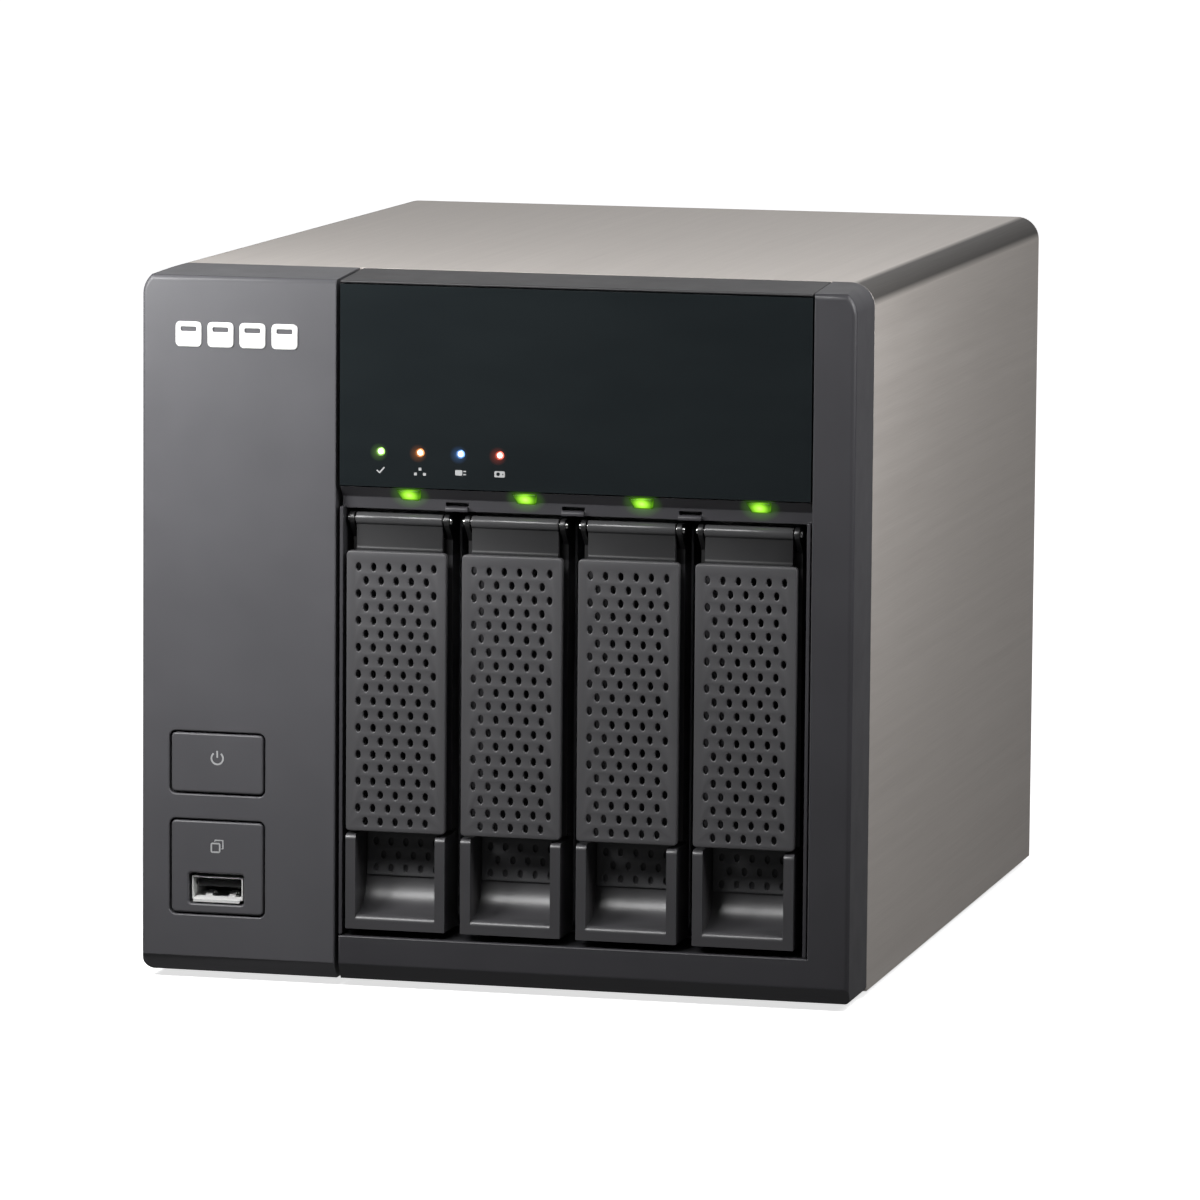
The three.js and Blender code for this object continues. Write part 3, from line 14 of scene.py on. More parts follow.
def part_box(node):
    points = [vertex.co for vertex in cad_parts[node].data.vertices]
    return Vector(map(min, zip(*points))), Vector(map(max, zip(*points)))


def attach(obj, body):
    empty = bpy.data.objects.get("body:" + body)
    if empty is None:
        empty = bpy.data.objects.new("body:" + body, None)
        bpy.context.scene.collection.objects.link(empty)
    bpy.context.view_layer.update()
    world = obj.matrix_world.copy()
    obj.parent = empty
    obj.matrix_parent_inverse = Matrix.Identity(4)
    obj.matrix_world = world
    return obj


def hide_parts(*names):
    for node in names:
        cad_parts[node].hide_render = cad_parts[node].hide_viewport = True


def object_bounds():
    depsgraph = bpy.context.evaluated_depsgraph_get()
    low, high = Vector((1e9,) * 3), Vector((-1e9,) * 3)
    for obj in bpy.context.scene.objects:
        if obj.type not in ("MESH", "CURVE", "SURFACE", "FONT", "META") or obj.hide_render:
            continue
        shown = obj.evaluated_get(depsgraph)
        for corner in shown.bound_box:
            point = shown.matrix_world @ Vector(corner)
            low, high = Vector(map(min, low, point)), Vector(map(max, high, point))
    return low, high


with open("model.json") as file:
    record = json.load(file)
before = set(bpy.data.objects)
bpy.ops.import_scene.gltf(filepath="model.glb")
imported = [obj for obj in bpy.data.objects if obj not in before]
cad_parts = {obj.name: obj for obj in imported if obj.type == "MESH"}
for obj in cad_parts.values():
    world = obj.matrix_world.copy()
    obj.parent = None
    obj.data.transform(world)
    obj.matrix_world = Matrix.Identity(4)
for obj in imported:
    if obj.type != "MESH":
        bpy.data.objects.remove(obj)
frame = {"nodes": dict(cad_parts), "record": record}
CAD_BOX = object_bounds()
NODES = frame["nodes"]

MM = 0.001
BAY_NUMBERS = range(1, 1 + sum(name.startswith("tray_handle_") for name in NODES))

# Perforation of the levers and of the wall behind each finger scoop
HOLE_PITCH = 3.83 * MM
HOLE_ROW_PITCH = 3.33 * MM
HOLE_HALF_WIDTH = 0.66 * MM
HOLE_HALF_HEIGHT = 1.02 * MM
HOLE_SIDES = 16
WIDE_ROW = 6
LEVER_ROWS = 20
LEVER_FIRST_ROW = 2.43 * MM  # lowest row above the lever's lower edge

LEVER_THICKNESS = 2.2 * MM
LEVER_PLATE_DROP = 7.75 * MM  # from the hinge axis down to the top of the plate
STATUS_COLOURS = ((0.35, 0.8, 0.1), (1.0, 0.3, 0.05), (0.15, 0.4, 1.0), (1.0, 0.12, 0.06))
MARK_WHITE = (0.45, 0.455, 0.46)


def middle(node):
    low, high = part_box(node)
    return (low + high) / 2


# ---------------------------------------------------------------- node materials


class Shader:
    """A Principled material under construction: each method adds a node and gives its output."""

    def __init__(self, name):
        self.material = bpy.data.materials.new(name)
        self.material.use_nodes = True
        self.nodes = self.material.node_tree.nodes
        self.links = self.material.node_tree.links
        self.surface = self.nodes["Principled BSDF"]
        coordinates = self.nodes.new("ShaderNodeTexCoord").outputs
        self.place = coordinates["Object"]
        self.normal = coordinates["Normal"]

    def feed(self, socket, value):
        if isinstance(value, bpy.types.NodeSocket):
            self.links.new(value, socket)
        elif socket.type == "RGBA":
            socket.default_value = (*value, 1.0)
        else:
            socket.default_value = value

    def finish(self, **inputs):
        """Sets the surface's inputs, written with underscores: Base_Color, Roughness, ..."""
        for key, value in inputs.items():
            self.feed(self.surface.inputs[key.replace("_", " ")], value)
        return self.material

    def add(self, kind, inputs, **settings):
        node = self.nodes.new(kind)
        for key, value in settings.items():
            setattr(node, key, value)
        for key, value in inputs.items():
            self.feed(node.inputs[key], value)
        return node

    def grain_place(self, size):
        """Coordinates in which one unit is a grain of the given size along x, y and z."""
        scale = tuple(1 / edge for edge in size)
        return self.add("ShaderNodeMapping", {"Vector": self.place, "Scale": scale}).outputs["Vector"]

    def noise(self, size, detail=2.0):
        inputs = {"Vector": self.grain_place(size), "Scale": 1.0, "Detail": detail}
        return self.add("ShaderNodeTexNoise", inputs).outputs["Fac"]

    def cells(self, size):
        inputs = {"Vector": self.grain_place((size, size, size)), "Scale": 1.0}
        return self.add("ShaderNodeTexVoronoi", inputs).outputs["Color"]

    def spread(self, factor, low, high):
        """Carries the middle range of a noise to low..high."""
        inputs = {"Value": factor, "From Min": 0.3, "From Max": 0.7, "To Min": low, "To Max": high}
        return self.add("ShaderNodeMapRange", inputs).outputs["Result"]

    def ramp(self, factor, *stops, mode="LINEAR"):
        node = self.add("ShaderNodeValToRGB", {"Fac": factor})
        node.color_ramp.interpolation = mode
        elements = node.color_ramp.elements
        while len(elements) < len(stops):
            elements.new(1.0)
        for element, (position, colour) in zip(elements, stops):
            element.position = position
            element.color = (*colour, 1.0)
        return node.outputs["Color"]

    def math(self, operation, first, second=0.0):
        node = self.nodes.new("ShaderNodeMath")
        node.operation = operation
        self.feed(node.inputs[0], first)
        self.feed(node.inputs[1], second)
        return node.outputs[0]

    def vector(self, operation, first, second):
        node = self.nodes.new("ShaderNodeVectorMath")
        node.operation = operation
        self.feed(node.inputs[0], first)
        self.feed(node.inputs[1], second)
        return node.outputs["Vector"]

    def axis(self, name):
        return self.add("ShaderNodeSeparateXYZ", {"Vector": self.place}).outputs[name]

    def bump(self, height, depth):
        inputs = {"Height": height, "Distance": depth, "Strength": 1.0}
        return self.add("ShaderNodeBump", inputs).outputs["Normal"]


def shade_of(colour, factor):
    return tuple(min(1.0, channel * factor) for channel in colour)


GRAIN_DEPTH = 0.012 * MM  # of the texture of moulded plastic


def moulded(name, colour, roughness, grain=0.32 * MM, painted_shade_above=None, glow=None, shine=0.5):
    """Satin moulded plastic: fine spark-eroded grain, cloudy gloss and a slight drift in colour.

    Above a given height it is nearly black, as painted shade for the shadow behind the levers'
    webs and hinge bars. A glow, if one is given, makes the light that falls on it from lamps of
    the object itself.
    """
    shader = Shader(name)
    cloud = shader.noise((28 * MM,) * 3, 3.0)
    tone = shader.ramp(cloud, (0.3, shade_of(colour, 0.94)), (0.7, shade_of(colour, 1.06)))
    # Painted shade: nearly black above the given height, for the shadow behind the webs and hinge bars.
    if painted_shade_above:
        above = shader.math("GREATER_THAN", shader.axis("Z"), painted_shade_above)
        darker = shader.ramp(above, (0.0, (1.0,) * 3), (1.0, (0.2,) * 3))
        tone = shader.vector("MULTIPLY", tone, darker)
    gloss = shader.spread(shader.noise((9 * MM,) * 3, 4.0), roughness - 0.03, roughness + 0.03)
    texture = shader.noise((grain,) * 3, 3.0)
    if glow:
        shader.finish(Emission_Color=glow(shader), Emission_Strength=1.0)
    return shader.finish(
        Base_Color=tone,
        Roughness=gloss,
        Specular_IOR_Level=shine,
        Normal=shader.bump(texture, GRAIN_DEPTH),
        IOR=1.48,
    )


def brushed_cover():
    """Warm grey satin sheet, brushed along the box's depth, with painted shade over its bends for the
    dark reflection there.
    """
    shader = Shader("brushed_cover")
    hairline = shader.noise((0.12 * MM, 30 * MM, 0.12 * MM), 4.0)
    band = shader.noise((2.2 * MM, 160 * MM, 2.2 * MM), 3.0)
    parts = (shader.math("MULTIPLY", hairline, 0.65), shader.math("MULTIPLY", band, 0.35))
    both = shader.math("ADD", *parts)
    tone = shader.ramp(both, (0.36, (0.64, 0.59, 0.55)), (0.64, (0.73, 0.68, 0.64)))
    # Painted shade: the colour darkens where the surface turns over a bend, standing in for a dark
    # reflection.
    facing = shader.add("ShaderNodeSeparateXYZ", {"Vector": shader.normal}).outputs
    bend = shader.math("ABSOLUTE", shader.math("MULTIPLY", facing["X"], facing["Z"]))
    painted_bend_shade = shader.ramp(bend, (0.05, (1.0,) * 3), (0.32, (0.13,) * 3))
    along = shader.add("ShaderNodeCombineXYZ", {"X": 0.0, "Y": 1.0, "Z": 0.0}).outputs["Vector"]
    return shader.finish(
        Base_Color=shader.vector("MULTIPLY", tone, painted_bend_shade),
        Metallic=0.55,
        Roughness=shader.spread(both, 0.38, 0.48),
        Anisotropic=0.4,
        Tangent=along,
        Normal=shader.bump(hairline, 0.004 * MM),
    )


def zinc_sheet():
    """Hot-dipped steel sheet with its crystal spangle."""
    shader = Shader("zinc_sheet")
    spangle = shader.add("ShaderNodeSeparateColor", {"Color": shader.cells(3.5 * MM)}).outputs[0]
    tone = shader.ramp(spangle, (0.0, (0.44, 0.45, 0.47)), (1.0, (0.62, 0.63, 0.65)))
    return shader.finish(
        Base_Color=tone,
        Metallic=0.95,
        Roughness=shader.spread(spangle, 0.38, 0.48),
        Normal=shader.bump(shader.noise((0.6 * MM,) * 3), 0.01 * MM),
    )


def bright_metal(name, colour, roughness, metallic=1.0):
    shader = Shader(name)
    wear = shader.noise((0.2 * MM,) * 3, 3.0)
    tone = shader.ramp(wear, (0.3, shade_of(colour, 0.93)), (0.7, shade_of(colour, 1.05)))
    return shader.finish(
        Base_Color=tone,
        Metallic=metallic,
        Roughness=shader.spread(wear, roughness - 0.04, roughness + 0.05),
        Normal=shader.bump(wear, 0.003 * MM),
    )


def cast_metal():
    """Painted die casting: dull, slightly rough skin."""
    shader = Shader("cast_metal")
    skin = shader.noise((0.5 * MM,) * 3, 4.0)
    patch = shader.noise((12 * MM,) * 3, 2.0)
    tone = shader.ramp(patch, (0.3, (0.36, 0.37, 0.39)), (0.7, (0.46, 0.47, 0.49)))
    return shader.finish(
        Base_Color=tone,
        Metallic=0.85,
        Roughness=shader.spread(patch, 0.42, 0.54),
        Normal=shader.bump(skin, 0.03 * MM),
    )


def circuit_board():
    """Green solder mask over copper areas that stand a little off the board."""
    shader = Shader("circuit_board")
    copper = shader.noise((2.2 * MM, 2.2 * MM, 2.2 * MM), 0.0)
    tone = shader.ramp(
        copper,
        (0.0, (0.012, 0.07, 0.032)),
        (0.5, (0.02, 0.12, 0.05)),
        mode="CONSTANT",
    )
    return shader.finish(
        Base_Color=tone,
        Roughness=shader.spread(copper, 0.3, 0.42),
        Normal=shader.bump(copper, 0.03 * MM),
    )


def foot_rubber():
    shader = Shader("foot_rubber")
    dust = shader.noise((0.8 * MM,) * 3, 5.0)
    tone = shader.ramp(dust, (0.35, (0.018, 0.018, 0.018)), (0.75, (0.045, 0.044, 0.042)))
    return shader.finish(
        Base_Color=tone,
        Roughness=shader.spread(dust, 0.8, 0.95),
        Normal=shader.bump(dust, 0.05 * MM),
    )


def distance_from(shader, x, z):
    """Distance of a surface point from the line through x, z that runs along the depth."""
    across = shader.math("SUBTRACT", shader.axis("X"), x)
    up = shader.math("SUBTRACT", shader.axis("Z"), z)
    squares = [shader.math("MULTIPLY", part, part) for part in (across, up)]
    return shader.math("SQRT", shader.math("ADD", *squares))


def status_places():
    """Middle of each status light, from the two ends of their light guide."""
    low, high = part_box("status_light_guide")
    end_margin = 1.5 * MM
    first, last = low.x + end_margin, high.x - end_margin
    steps = (0.0, 0.3317, 0.6716, 1.0)
    return [(first + (last - first) * step, (low.z + high.z) / 2) for step in steps]


def display_gloss():
    """Near-black polished window, with a faint glow round each status light behind it."""
    shader = Shader("display_gloss")
    smear = shader.noise((35 * MM, 35 * MM, 12 * MM), 4.0)
    glow = (0.0, 0.0, 0.0)
    for (x, z), colour in zip(status_places(), STATUS_COLOURS):
        reach = distance_from(shader, x - 0.5 * MM, z - 0.2 * MM)
        halo = shader.math("DIVIDE", reach, 2.3 * MM)
        near, far = shade_of(colour, 0.32), shade_of(colour, 0.08)
        light = shader.ramp(halo, (0.0, near), (0.5, far), (1.0, (0, 0, 0)))
        glow = shader.vector("ADD", glow, light)
    return shader.finish(
        Base_Color=shader.ramp(smear, (0.3, (0.011, 0.014, 0.0155)), (0.7, (0.013, 0.0165, 0.018))),
        Roughness=shader.spread(smear, 0.05, 0.09),
        Emission_Color=glow,
        Emission_Strength=1.0,
        IOR=1.42,
    )


def status_lens():
    """Light guide whose tips glow, each in its own colour."""
    shader = Shader("status_lens")
    glow = (0.0, 0.0, 0.0)
    for (x, z), colour in zip(status_places(), STATUS_COLOURS):
        reach = shader.math("DIVIDE", distance_from(shader, x, z), 1.2 * MM)
        hot = tuple(0.45 + 0.55 * channel for channel in colour)
        light = shader.ramp(reach, (0.0, hot), (0.35, hot), (0.7, colour), (1.0, (0, 0, 0)))
        glow = shader.vector("ADD", glow, light)
    return shader.finish(
        Base_Color=shader.ramp(shader.noise((1 * MM,) * 3), (0.3, (0.5,) * 3), (0.7, (0.6,) * 3)),
        Roughness=0.3,
        Emission_Color=glow,
        Emission_Strength=1.6,
    )


def disk_light_reach(shader, across, up):
    """Distance from the middle of the nearest disk light, in units of across and up."""
    light = middle("disk_light_1")
    pitch = middle("disk_light_2").x - light.x
    offset = shader.math("SUBTRACT", shader.axis("X"), light.x - pitch / 2)
    sideways = shader.math("SUBTRACT", shader.math("FLOORED_MODULO", offset, pitch), pitch / 2)
    upwards = shader.math("SUBTRACT", shader.axis("Z"), light.z - 0.1 * MM)
    parts = (shader.math("DIVIDE", sideways, across), shader.math("DIVIDE", upwards, up))
    squares = [shader.math("MULTIPLY", part, part) for part in parts]
    return shader.math("SQRT", shader.math("ADD", *squares))


def green_lens():
    """Disk light: hottest in the middle of the lens, deep green towards its ends."""
    shader = Shader("green_lens")
    speckle = shader.noise((1 * MM,) * 3)
    glow = shader.ramp(
        disk_light_reach(shader, 3.0 * MM, 2.2 * MM),
        (0.0, (0.60, 1.0, 0.16)),
        (0.4, (0.33, 0.80, 0.03)),
        (0.75, (0.08, 0.26, 0.006)),
        (1.0, (0.02, 0.07, 0.002)),
    )
    return shader.finish(
        Base_Color=shader.ramp(speckle, (0.3, (0.02, 0.05, 0.005)), (0.7, (0.03, 0.07, 0.01))),
        Roughness=0.3,
        Emission_Color=glow,
        Emission_Strength=1.25,
    )


def disk_light_spill(shader):
    """Green light on the strip round each disk light."""
    reach = disk_light_reach(shader, 5.2 * MM, 3.4 * MM)
    return shader.ramp(reach, (0.4, (0.03, 0.10, 0.003)), (1.0, (0.0, 0.0, 0.0)))


def printed_mark():
    """Matt screen-printed ink."""
    shader = Shader("printed_mark")
    speckle = shader.noise((0.25 * MM,) * 3, 3.0)
    tone = shader.ramp(speckle, (0.3, shade_of(MARK_WHITE, 0.9)), (0.7, MARK_WHITE))
    return shader.finish(Base_Color=tone, Roughness=0.55)


def label_paper():
    shader = Shader("label_paper")
    fibre = shader.noise((0.3 * MM, 0.9 * MM, 0.3 * MM), 4.0)
    tone = shader.ramp(fibre, (0.3, (0.74, 0.74, 0.72)), (0.7, (0.82, 0.82, 0.8)))
    return shader.finish(Base_Color=tone, Roughness=0.6, Normal=shader.bump(fibre, 0.01 * MM))


LEVER_PLATE_TOP = middle("hinge_pin_1").z - LEVER_PLATE_DROP

MATERIALS = {
    "cover_metal": brushed_cover(),
    "zinc_sheet": zinc_sheet(),
    "fascia_plastic": moulded("fascia_plastic_look", (0.085, 0.084, 0.091), 0.42),
    "frame_plastic": moulded("frame_plastic_look", (0.046, 0.045, 0.050), 0.42),
    "trim_plastic": moulded("trim_plastic_look", (0.046, 0.045, 0.047), 0.5),
    "window_gloss": display_gloss(),
    "lever_plastic": moulded("lever_plastic_look", (0.076, 0.075, 0.079), 0.42),
    "light_strip": moulded("light_strip_look", (0.046, 0.045, 0.050), 0.4, glow=disk_light_spill),
    # Painted shade: the web is a near-black copy of the lever plastic, for the shade under the hinge
    # bar.
    "lever_web": moulded("lever_web_painted_shade_look", (0.013, 0.013, 0.014), 0.5),
    "hinge_bar": moulded("hinge_bar_look", (0.06, 0.06, 0.062), 0.24),
    # Painted light: the scoop's back wall is a lighter copy of the tray plastic, for more light falling
    # on it.
    "scoop_wall": moulded("scoop_wall_painted_light_look", (0.12, 0.12, 0.125), 0.4),
    "tray_plastic": moulded(
        "tray_plastic_look",
        (0.056, 0.055, 0.059),
        0.37,
        # Painted shade: the tray's head above its lever plate is darkened for the shadow behind the
        # lever's web.
        painted_shade_above=LEVER_PLATE_TOP - 1 * MM,
        shine=0.95,
    ),
    "black_plastic": moulded("black_plastic_look", (0.012, 0.012, 0.013), 0.5, 0.5 * MM),
    "polished_steel": bright_metal("polished_steel_look", (0.72, 0.72, 0.71), 0.2),
    "cast_aluminium": cast_metal(),
    "circuit_board": circuit_board(),
    "green_lens": green_lens(),
    "clear_lens": status_lens(),
    "foot_rubber": foot_rubber(),
    "printed_mark": printed_mark(),
    "satin_silver": bright_metal("satin_silver_look", (0.86, 0.86, 0.85), 0.5, 0.35),
    "satin_steel": bright_metal("satin_steel_look", (0.5, 0.5, 0.5), 0.42, 0.8),
    "gold_contact": bright_metal("gold_contact_look", (0.83, 0.62, 0.28), 0.3),
    "label_paper": label_paper(),
}


# ---------------------------------------------------------------- finer edges on the design's own pieces

SMOOTH_ANGLE = math.radians(32)


def shading_group(weld):
    """Geometry nodes that weld split corners or, as the last step, shade rounded edges smooth."""
    tree = bpy.data.node_groups.new("weld_corners" if weld else "shade_rounded", "GeometryNodeTree")
    tree.interface.new_socket("Geometry", in_out="INPUT", socket_type="NodeSocketGeometry")
    tree.interface.new_socket("Geometry", in_out="OUTPUT", socket_type="NodeSocketGeometry")
    source = tree.nodes.new("NodeGroupInput").outputs[0]
    if weld:
        plain = tree.nodes.new("GeometryNodeRemoveAttribute")
        plain.inputs["Name"].default_value = "custom_normal"
        tree.links.new(source, plain.inputs["Geometry"])
        merge = tree.nodes.new("GeometryNodeMergeByDistance")
        merge.inputs["Distance"].default_value = 0.001 * MM
        tree.links.new(plain.outputs[0], merge.inputs["Geometry"])
        last = merge.outputs[0]
    else:
        faces = tree.nodes.new("GeometryNodeSetShadeSmooth")
        tree.links.new(source, faces.inputs["Geometry"])
        angle = tree.nodes.new("GeometryNodeInputMeshEdgeAngle").outputs["Unsigned Angle"]
        flat_enough = tree.nodes.new("FunctionNodeCompare")
        flat_enough.operation = "LESS_THAN"
        flat_enough.inputs[1].default_value = SMOOTH_ANGLE
        tree.links.new(angle, flat_enough.inputs[0])
        edges = tree.nodes.new("GeometryNodeSetShadeSmooth")
        edges.domain = "EDGE"
        tree.links.new(faces.outputs[0], edges.inputs["Geometry"])
        tree.links.new(flat_enough.outputs[0], edges.inputs["Shade Smooth"])
        last = edges.outputs[0]
    tree.links.new(last, tree.nodes.new("NodeGroupOutput").inputs[0])
    return tree


WELD_CORNERS = shading_group(weld=True)
SHADE_ROUNDED = shading_group(weld=False)


def round_edges(target, width, by_weight, clamp):
    """Rounds a piece's sharp edges by width and shades flats flat and roundings smooth."""
    bevel = target.modifiers.new("round_edges", "BEVEL")
    bevel.width = width
    bevel.segments = 3
    bevel.limit_method = "WEIGHT" if by_weight else "ANGLE"
    bevel.angle_limit = SMOOTH_ANGLE
    bevel.miter_outer = "MITER_ARC"
    bevel.use_clamp_overlap = clamp
    bevel.loop_slide = False
    slivers = target.modifiers.new("join_slivers", "DECIMATE")
    slivers.decimate_type = "DISSOLVE"
    slivers.angle_limit = math.radians(0.3)
    target.modifiers.new("shade_rounded", "NODES").node_group = SHADE_ROUNDED
    normals = target.modifiers.new("flat_faces", "WEIGHTED_NORMAL")
    normals.keep_sharp = True


def refine(name, width):
    """Rounded edges on a node of the design, whose own mesh stays as it is."""
    target = NODES[name]
    target.modifiers.new("weld_corners", "NODES").node_group = WELD_CORNERS
    flat = target.modifiers.new("join_flats", "DECIMATE")
    flat.decimate_type = "DISSOLVE"
    flat.angle_limit = math.radians(1)
    round_edges(target, width, by_weight=False, clamp=name not in BROADLY_ROUNDED)


BROADLY_ROUNDED = ("power_button", "copy_button")
EDGE_WIDTHS = {
    "outer_cover": 0.25 * MM,
    "top_trim": 0.5 * MM,
    "display_window": 0.25 * MM,
    "bay_surround": 0.2 * MM,
    "power_button": 0.6 * MM,
    "copy_button": 0.6 * MM,
    "tray_": 0.35 * MM,
    "hard_drive_": 0.4 * MM,
    "foot_": 0.3 * MM,
    "psu_inlet": 0.3 * MM,
    "fan_frame": 0.5 * MM,
}
PLAIN_EDGE = 0.12 * MM


def edge_width(name):
    for start, width in EDGE_WIDTHS.items():
        if name.startswith(start):
            return width
    return PLAIN_EDGE


SPECIAL_LOOKS = {"bay_surround": "light_strip", "front_usb_shell": "satin_silver"}

for name, node in NODES.items():
    slot = node.material_slots[0].material.name
    node.material_slots[0].material = MATERIALS[SPECIAL_LOOKS.get(name, slot)]
    refine(name, edge_width(name))


# ---------------------------------------------------------------- drawn solids

# Outlines drawn as seen from the front (x, z) or from the right side (y, z)
FRONT_VIEW = Matrix(((1, 0, 0, 0), (0, 0, 1, 0), (0, 1, 0, 0), (0, 0, 0, 1)))
SIDE_VIEW = Matrix(((0, 0, 1, 0), (1, 0, 0, 0), (0, 1, 0, 0), (0, 0, 0, 1)))


def arc(a, b, radius_a, radius_b, start, end, steps):
    """Points on an ellipse about (a, b), from start to end in degrees."""
    angles = (math.radians(start + (end - start) * i / steps) for i in range(steps + 1))
    return [(a + radius_a * math.cos(t), b + radius_b * math.sin(t)) for t in angles]


def ellipse(a, b, radius_a, radius_b, sides):
    return arc(a, b, radius_a, radius_b, 0, 360, sides)[:-1]


def rounded(a0, a1, b0, b1, radius, steps=4):
    """A rectangle with rounded corners."""
    corners = ((a1, b1, 0), (a0, b1, 90), (a0, b0, 180), (a1, b0, 270))
    points = []
    for a, b, turn in corners:
        inset_a = a - radius if a == a1 else a + radius
        inset_b = b - radius if b == b1 else b + radius
        points += arc(inset_a, inset_b, radius, radius, turn, turn + 90, steps)
    return points


def solid(name, loops, low, high, view, rounding=0.0):
    """Mesh of closed outlines, inner ones as holes, carried from low to high across the view."""
    curve = bpy.data.curves.new(name, "CURVE")
    curve.dimensions = "2D"
    curve.fill_mode = "BOTH"
    curve.extrude = (high - low) / 2 - rounding
    curve.bevel_depth = rounding
    curve.bevel_resolution = 2
    curve.offset = -rounding
    for loop in loops:
        spline = curve.splines.new("POLY")
        spline.points.add(len(loop) - 1)
        spline.use_cyclic_u = True
        for point, (a, b) in zip(spline.points, loop):
            point.co = (a, b, 0.0, 1.0)
    mesh = mesh_of(curve)
    mesh.transform(view @ Matrix.Translation((0, 0, (low + high) / 2)))
    return cleaned(mesh)


def wires(name, paths, radius, looped):
    """Round wire along each path of points."""
    curve = bpy.data.curves.new(name, "CURVE")
    curve.dimensions = "3D"
    curve.bevel_depth = radius
    curve.bevel_resolution = 3
    curve.use_fill_caps = not looped
    for path in paths:
        spline = curve.splines.new("POLY")
        spline.points.add(len(path) - 1)
        spline.use_cyclic_u = looped
        for point, place in zip(spline.points, path):
            point.co = (*place, 1.0)
    return cleaned(mesh_of(curve))


def mesh_of(curve):
    """The curve's filled shape as a mesh. The curve itself is used up."""
    drawing = bpy.data.objects.new(curve.name, curve)
    mesh = bpy.data.meshes.new_from_object(drawing)
    bpy.data.objects.remove(drawing)
    bpy.data.curves.remove(curve)
    return mesh


def joined(*meshes):
    """One mesh of several."""
    work = bmesh.new()
    for mesh in meshes:
        work.from_mesh(mesh)
    together = bpy.data.meshes.new(meshes[0].name)
    work.to_mesh(together)
    work.free()
    return together


def cleaned(mesh):
    """Welds, turns the faces outwards and shades flats flat."""
    work = bmesh.new()
    work.from_mesh(mesh)
    bmesh.ops.remove_doubles(work, verts=work.verts, dist=0.0005 * MM)
    bmesh.ops.recalc_face_normals(work, faces=work.faces)
    work.to_mesh(mesh)
    work.free()
    mesh.shade_smooth()
    mesh.set_sharp_from_angle(angle=SMOOTH_ANGLE)
    return mesh


def piece(name, mesh, slot, body, look=None):
    """A named piece that rides on a body. Its look is its slot's unless another is given."""
    made = bpy.data.objects.new(name, mesh)
    bpy.context.scene.collection.objects.link(made)
    mesh.name = name
    mesh.materials.clear()
    mesh.materials.append(MATERIALS[look or slot])
    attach(made, body)
    return made


# ---------------------------------------------------------------- front mouldings

OUTLINE_ROUNDING = 1.3 * MM
INNER_EDGE_SHARE = 0.3  # rounding of the mouldings' inner edges, as a share of their outline's
FRONT_SKIN = 0.3 * MM  # an edge deeper than this isn't on the front
SIDE_REACH = 2.6 * MM  # an edge this near a side of the box is on the outline
TOP_REACH = 8 * MM  # and so is one this near the top
FLAT_ANGLE = math.radians(1)


def front_weight(edge):
    """How much of the outline's rounding an edge of a front moulding takes."""
    low, high = CAD_BOX
    centre = (edge.verts[0].co + edge.verts[1].co) / 2
    if centre.y > low.y + FRONT_SKIN or edge.calc_face_angle(0.0) < SMOOTH_ANGLE:
        return 0.0
    at_side = abs(centre.x) > high.x - SIDE_REACH
    at_top = centre.z > high.z - TOP_REACH
    return 1.0 if at_side or at_top else INNER_EDGE_SHARE


def make_moulding(node, slot):
    """A front moulding with its outline rounded, after its flats are recut into better triangles."""
    work = bmesh.new()
    work.from_mesh(NODES[node].data)
    bmesh.ops.remove_doubles(work, verts=work.verts, dist=0.0005 * MM)
    bmesh.ops.dissolve_limit(work, angle_limit=FLAT_ANGLE, verts=work.verts, edges=work.edges)
    bmesh.ops.triangulate(work, faces=work.faces, ngon_method="BEAUTY")
    flat = [edge for edge in work.edges if edge.calc_face_angle(1.0) < FLAT_ANGLE]
    bmesh.ops.beautify_fill(work, faces=work.faces, edges=flat)
    weights = work.edges.layers.float.new("bevel_weight_edge")
    for edge in work.edges:
        edge[weights] = front_weight(edge)
    mesh = bpy.data.meshes.new("moulding")
    work.to_mesh(mesh)
    work.free()
    moulding = piece(f"{node}_moulding", mesh, slot, "housing")
    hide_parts(node)
    round_edges(moulding, OUTLINE_ROUNDING, by_weight=True, clamp=False)


make_moulding("left_fascia", "fascia_plastic")
make_moulding("bezel_frame", "frame_plastic")


# ---------------------------------------------------------------- levers and scoops

BAR_HALF_LENGTH = 11.05 * MM
PIN_BORE_RADIUS = 0.85 * MM
WEB_TOP_DROP = 0.95 * MM  # of the web's top from the pin's axis, inside the hinge bar
WEB_LAP = 3 * MM  # how far the web runs down behind the plate
PANEL_SIDE_MARGIN = 2.7 * MM
PANEL_HEIGHT = 12.4 * MM
PANEL_THICKNESS = 0.7 * MM
PANEL_ROWS = 4
PANEL_FIRST_ROW = 1.9 * MM
SCOOP_DEPTH = 10.2 * MM
PIN_HEAD_RADIUS = 0.95 * MM
PIN_HEAD_LENGTH = 0.75 * MM


def perforation(centre, lowest, rows):
    """Staggered slots: rows of one fewer and of the full number in turn, from the lowest up."""
    holes = []
    for row in range(rows):
        count = WIDE_ROW - 1 + row % 2
        for column in range(count):
            a = centre + (column - (count - 1) / 2) * HOLE_PITCH
            b = lowest + row * HOLE_ROW_PITCH
            holes.append(ellipse(a, b, HOLE_HALF_WIDTH, HOLE_HALF_HEIGHT, HOLE_SIDES))
    return holes


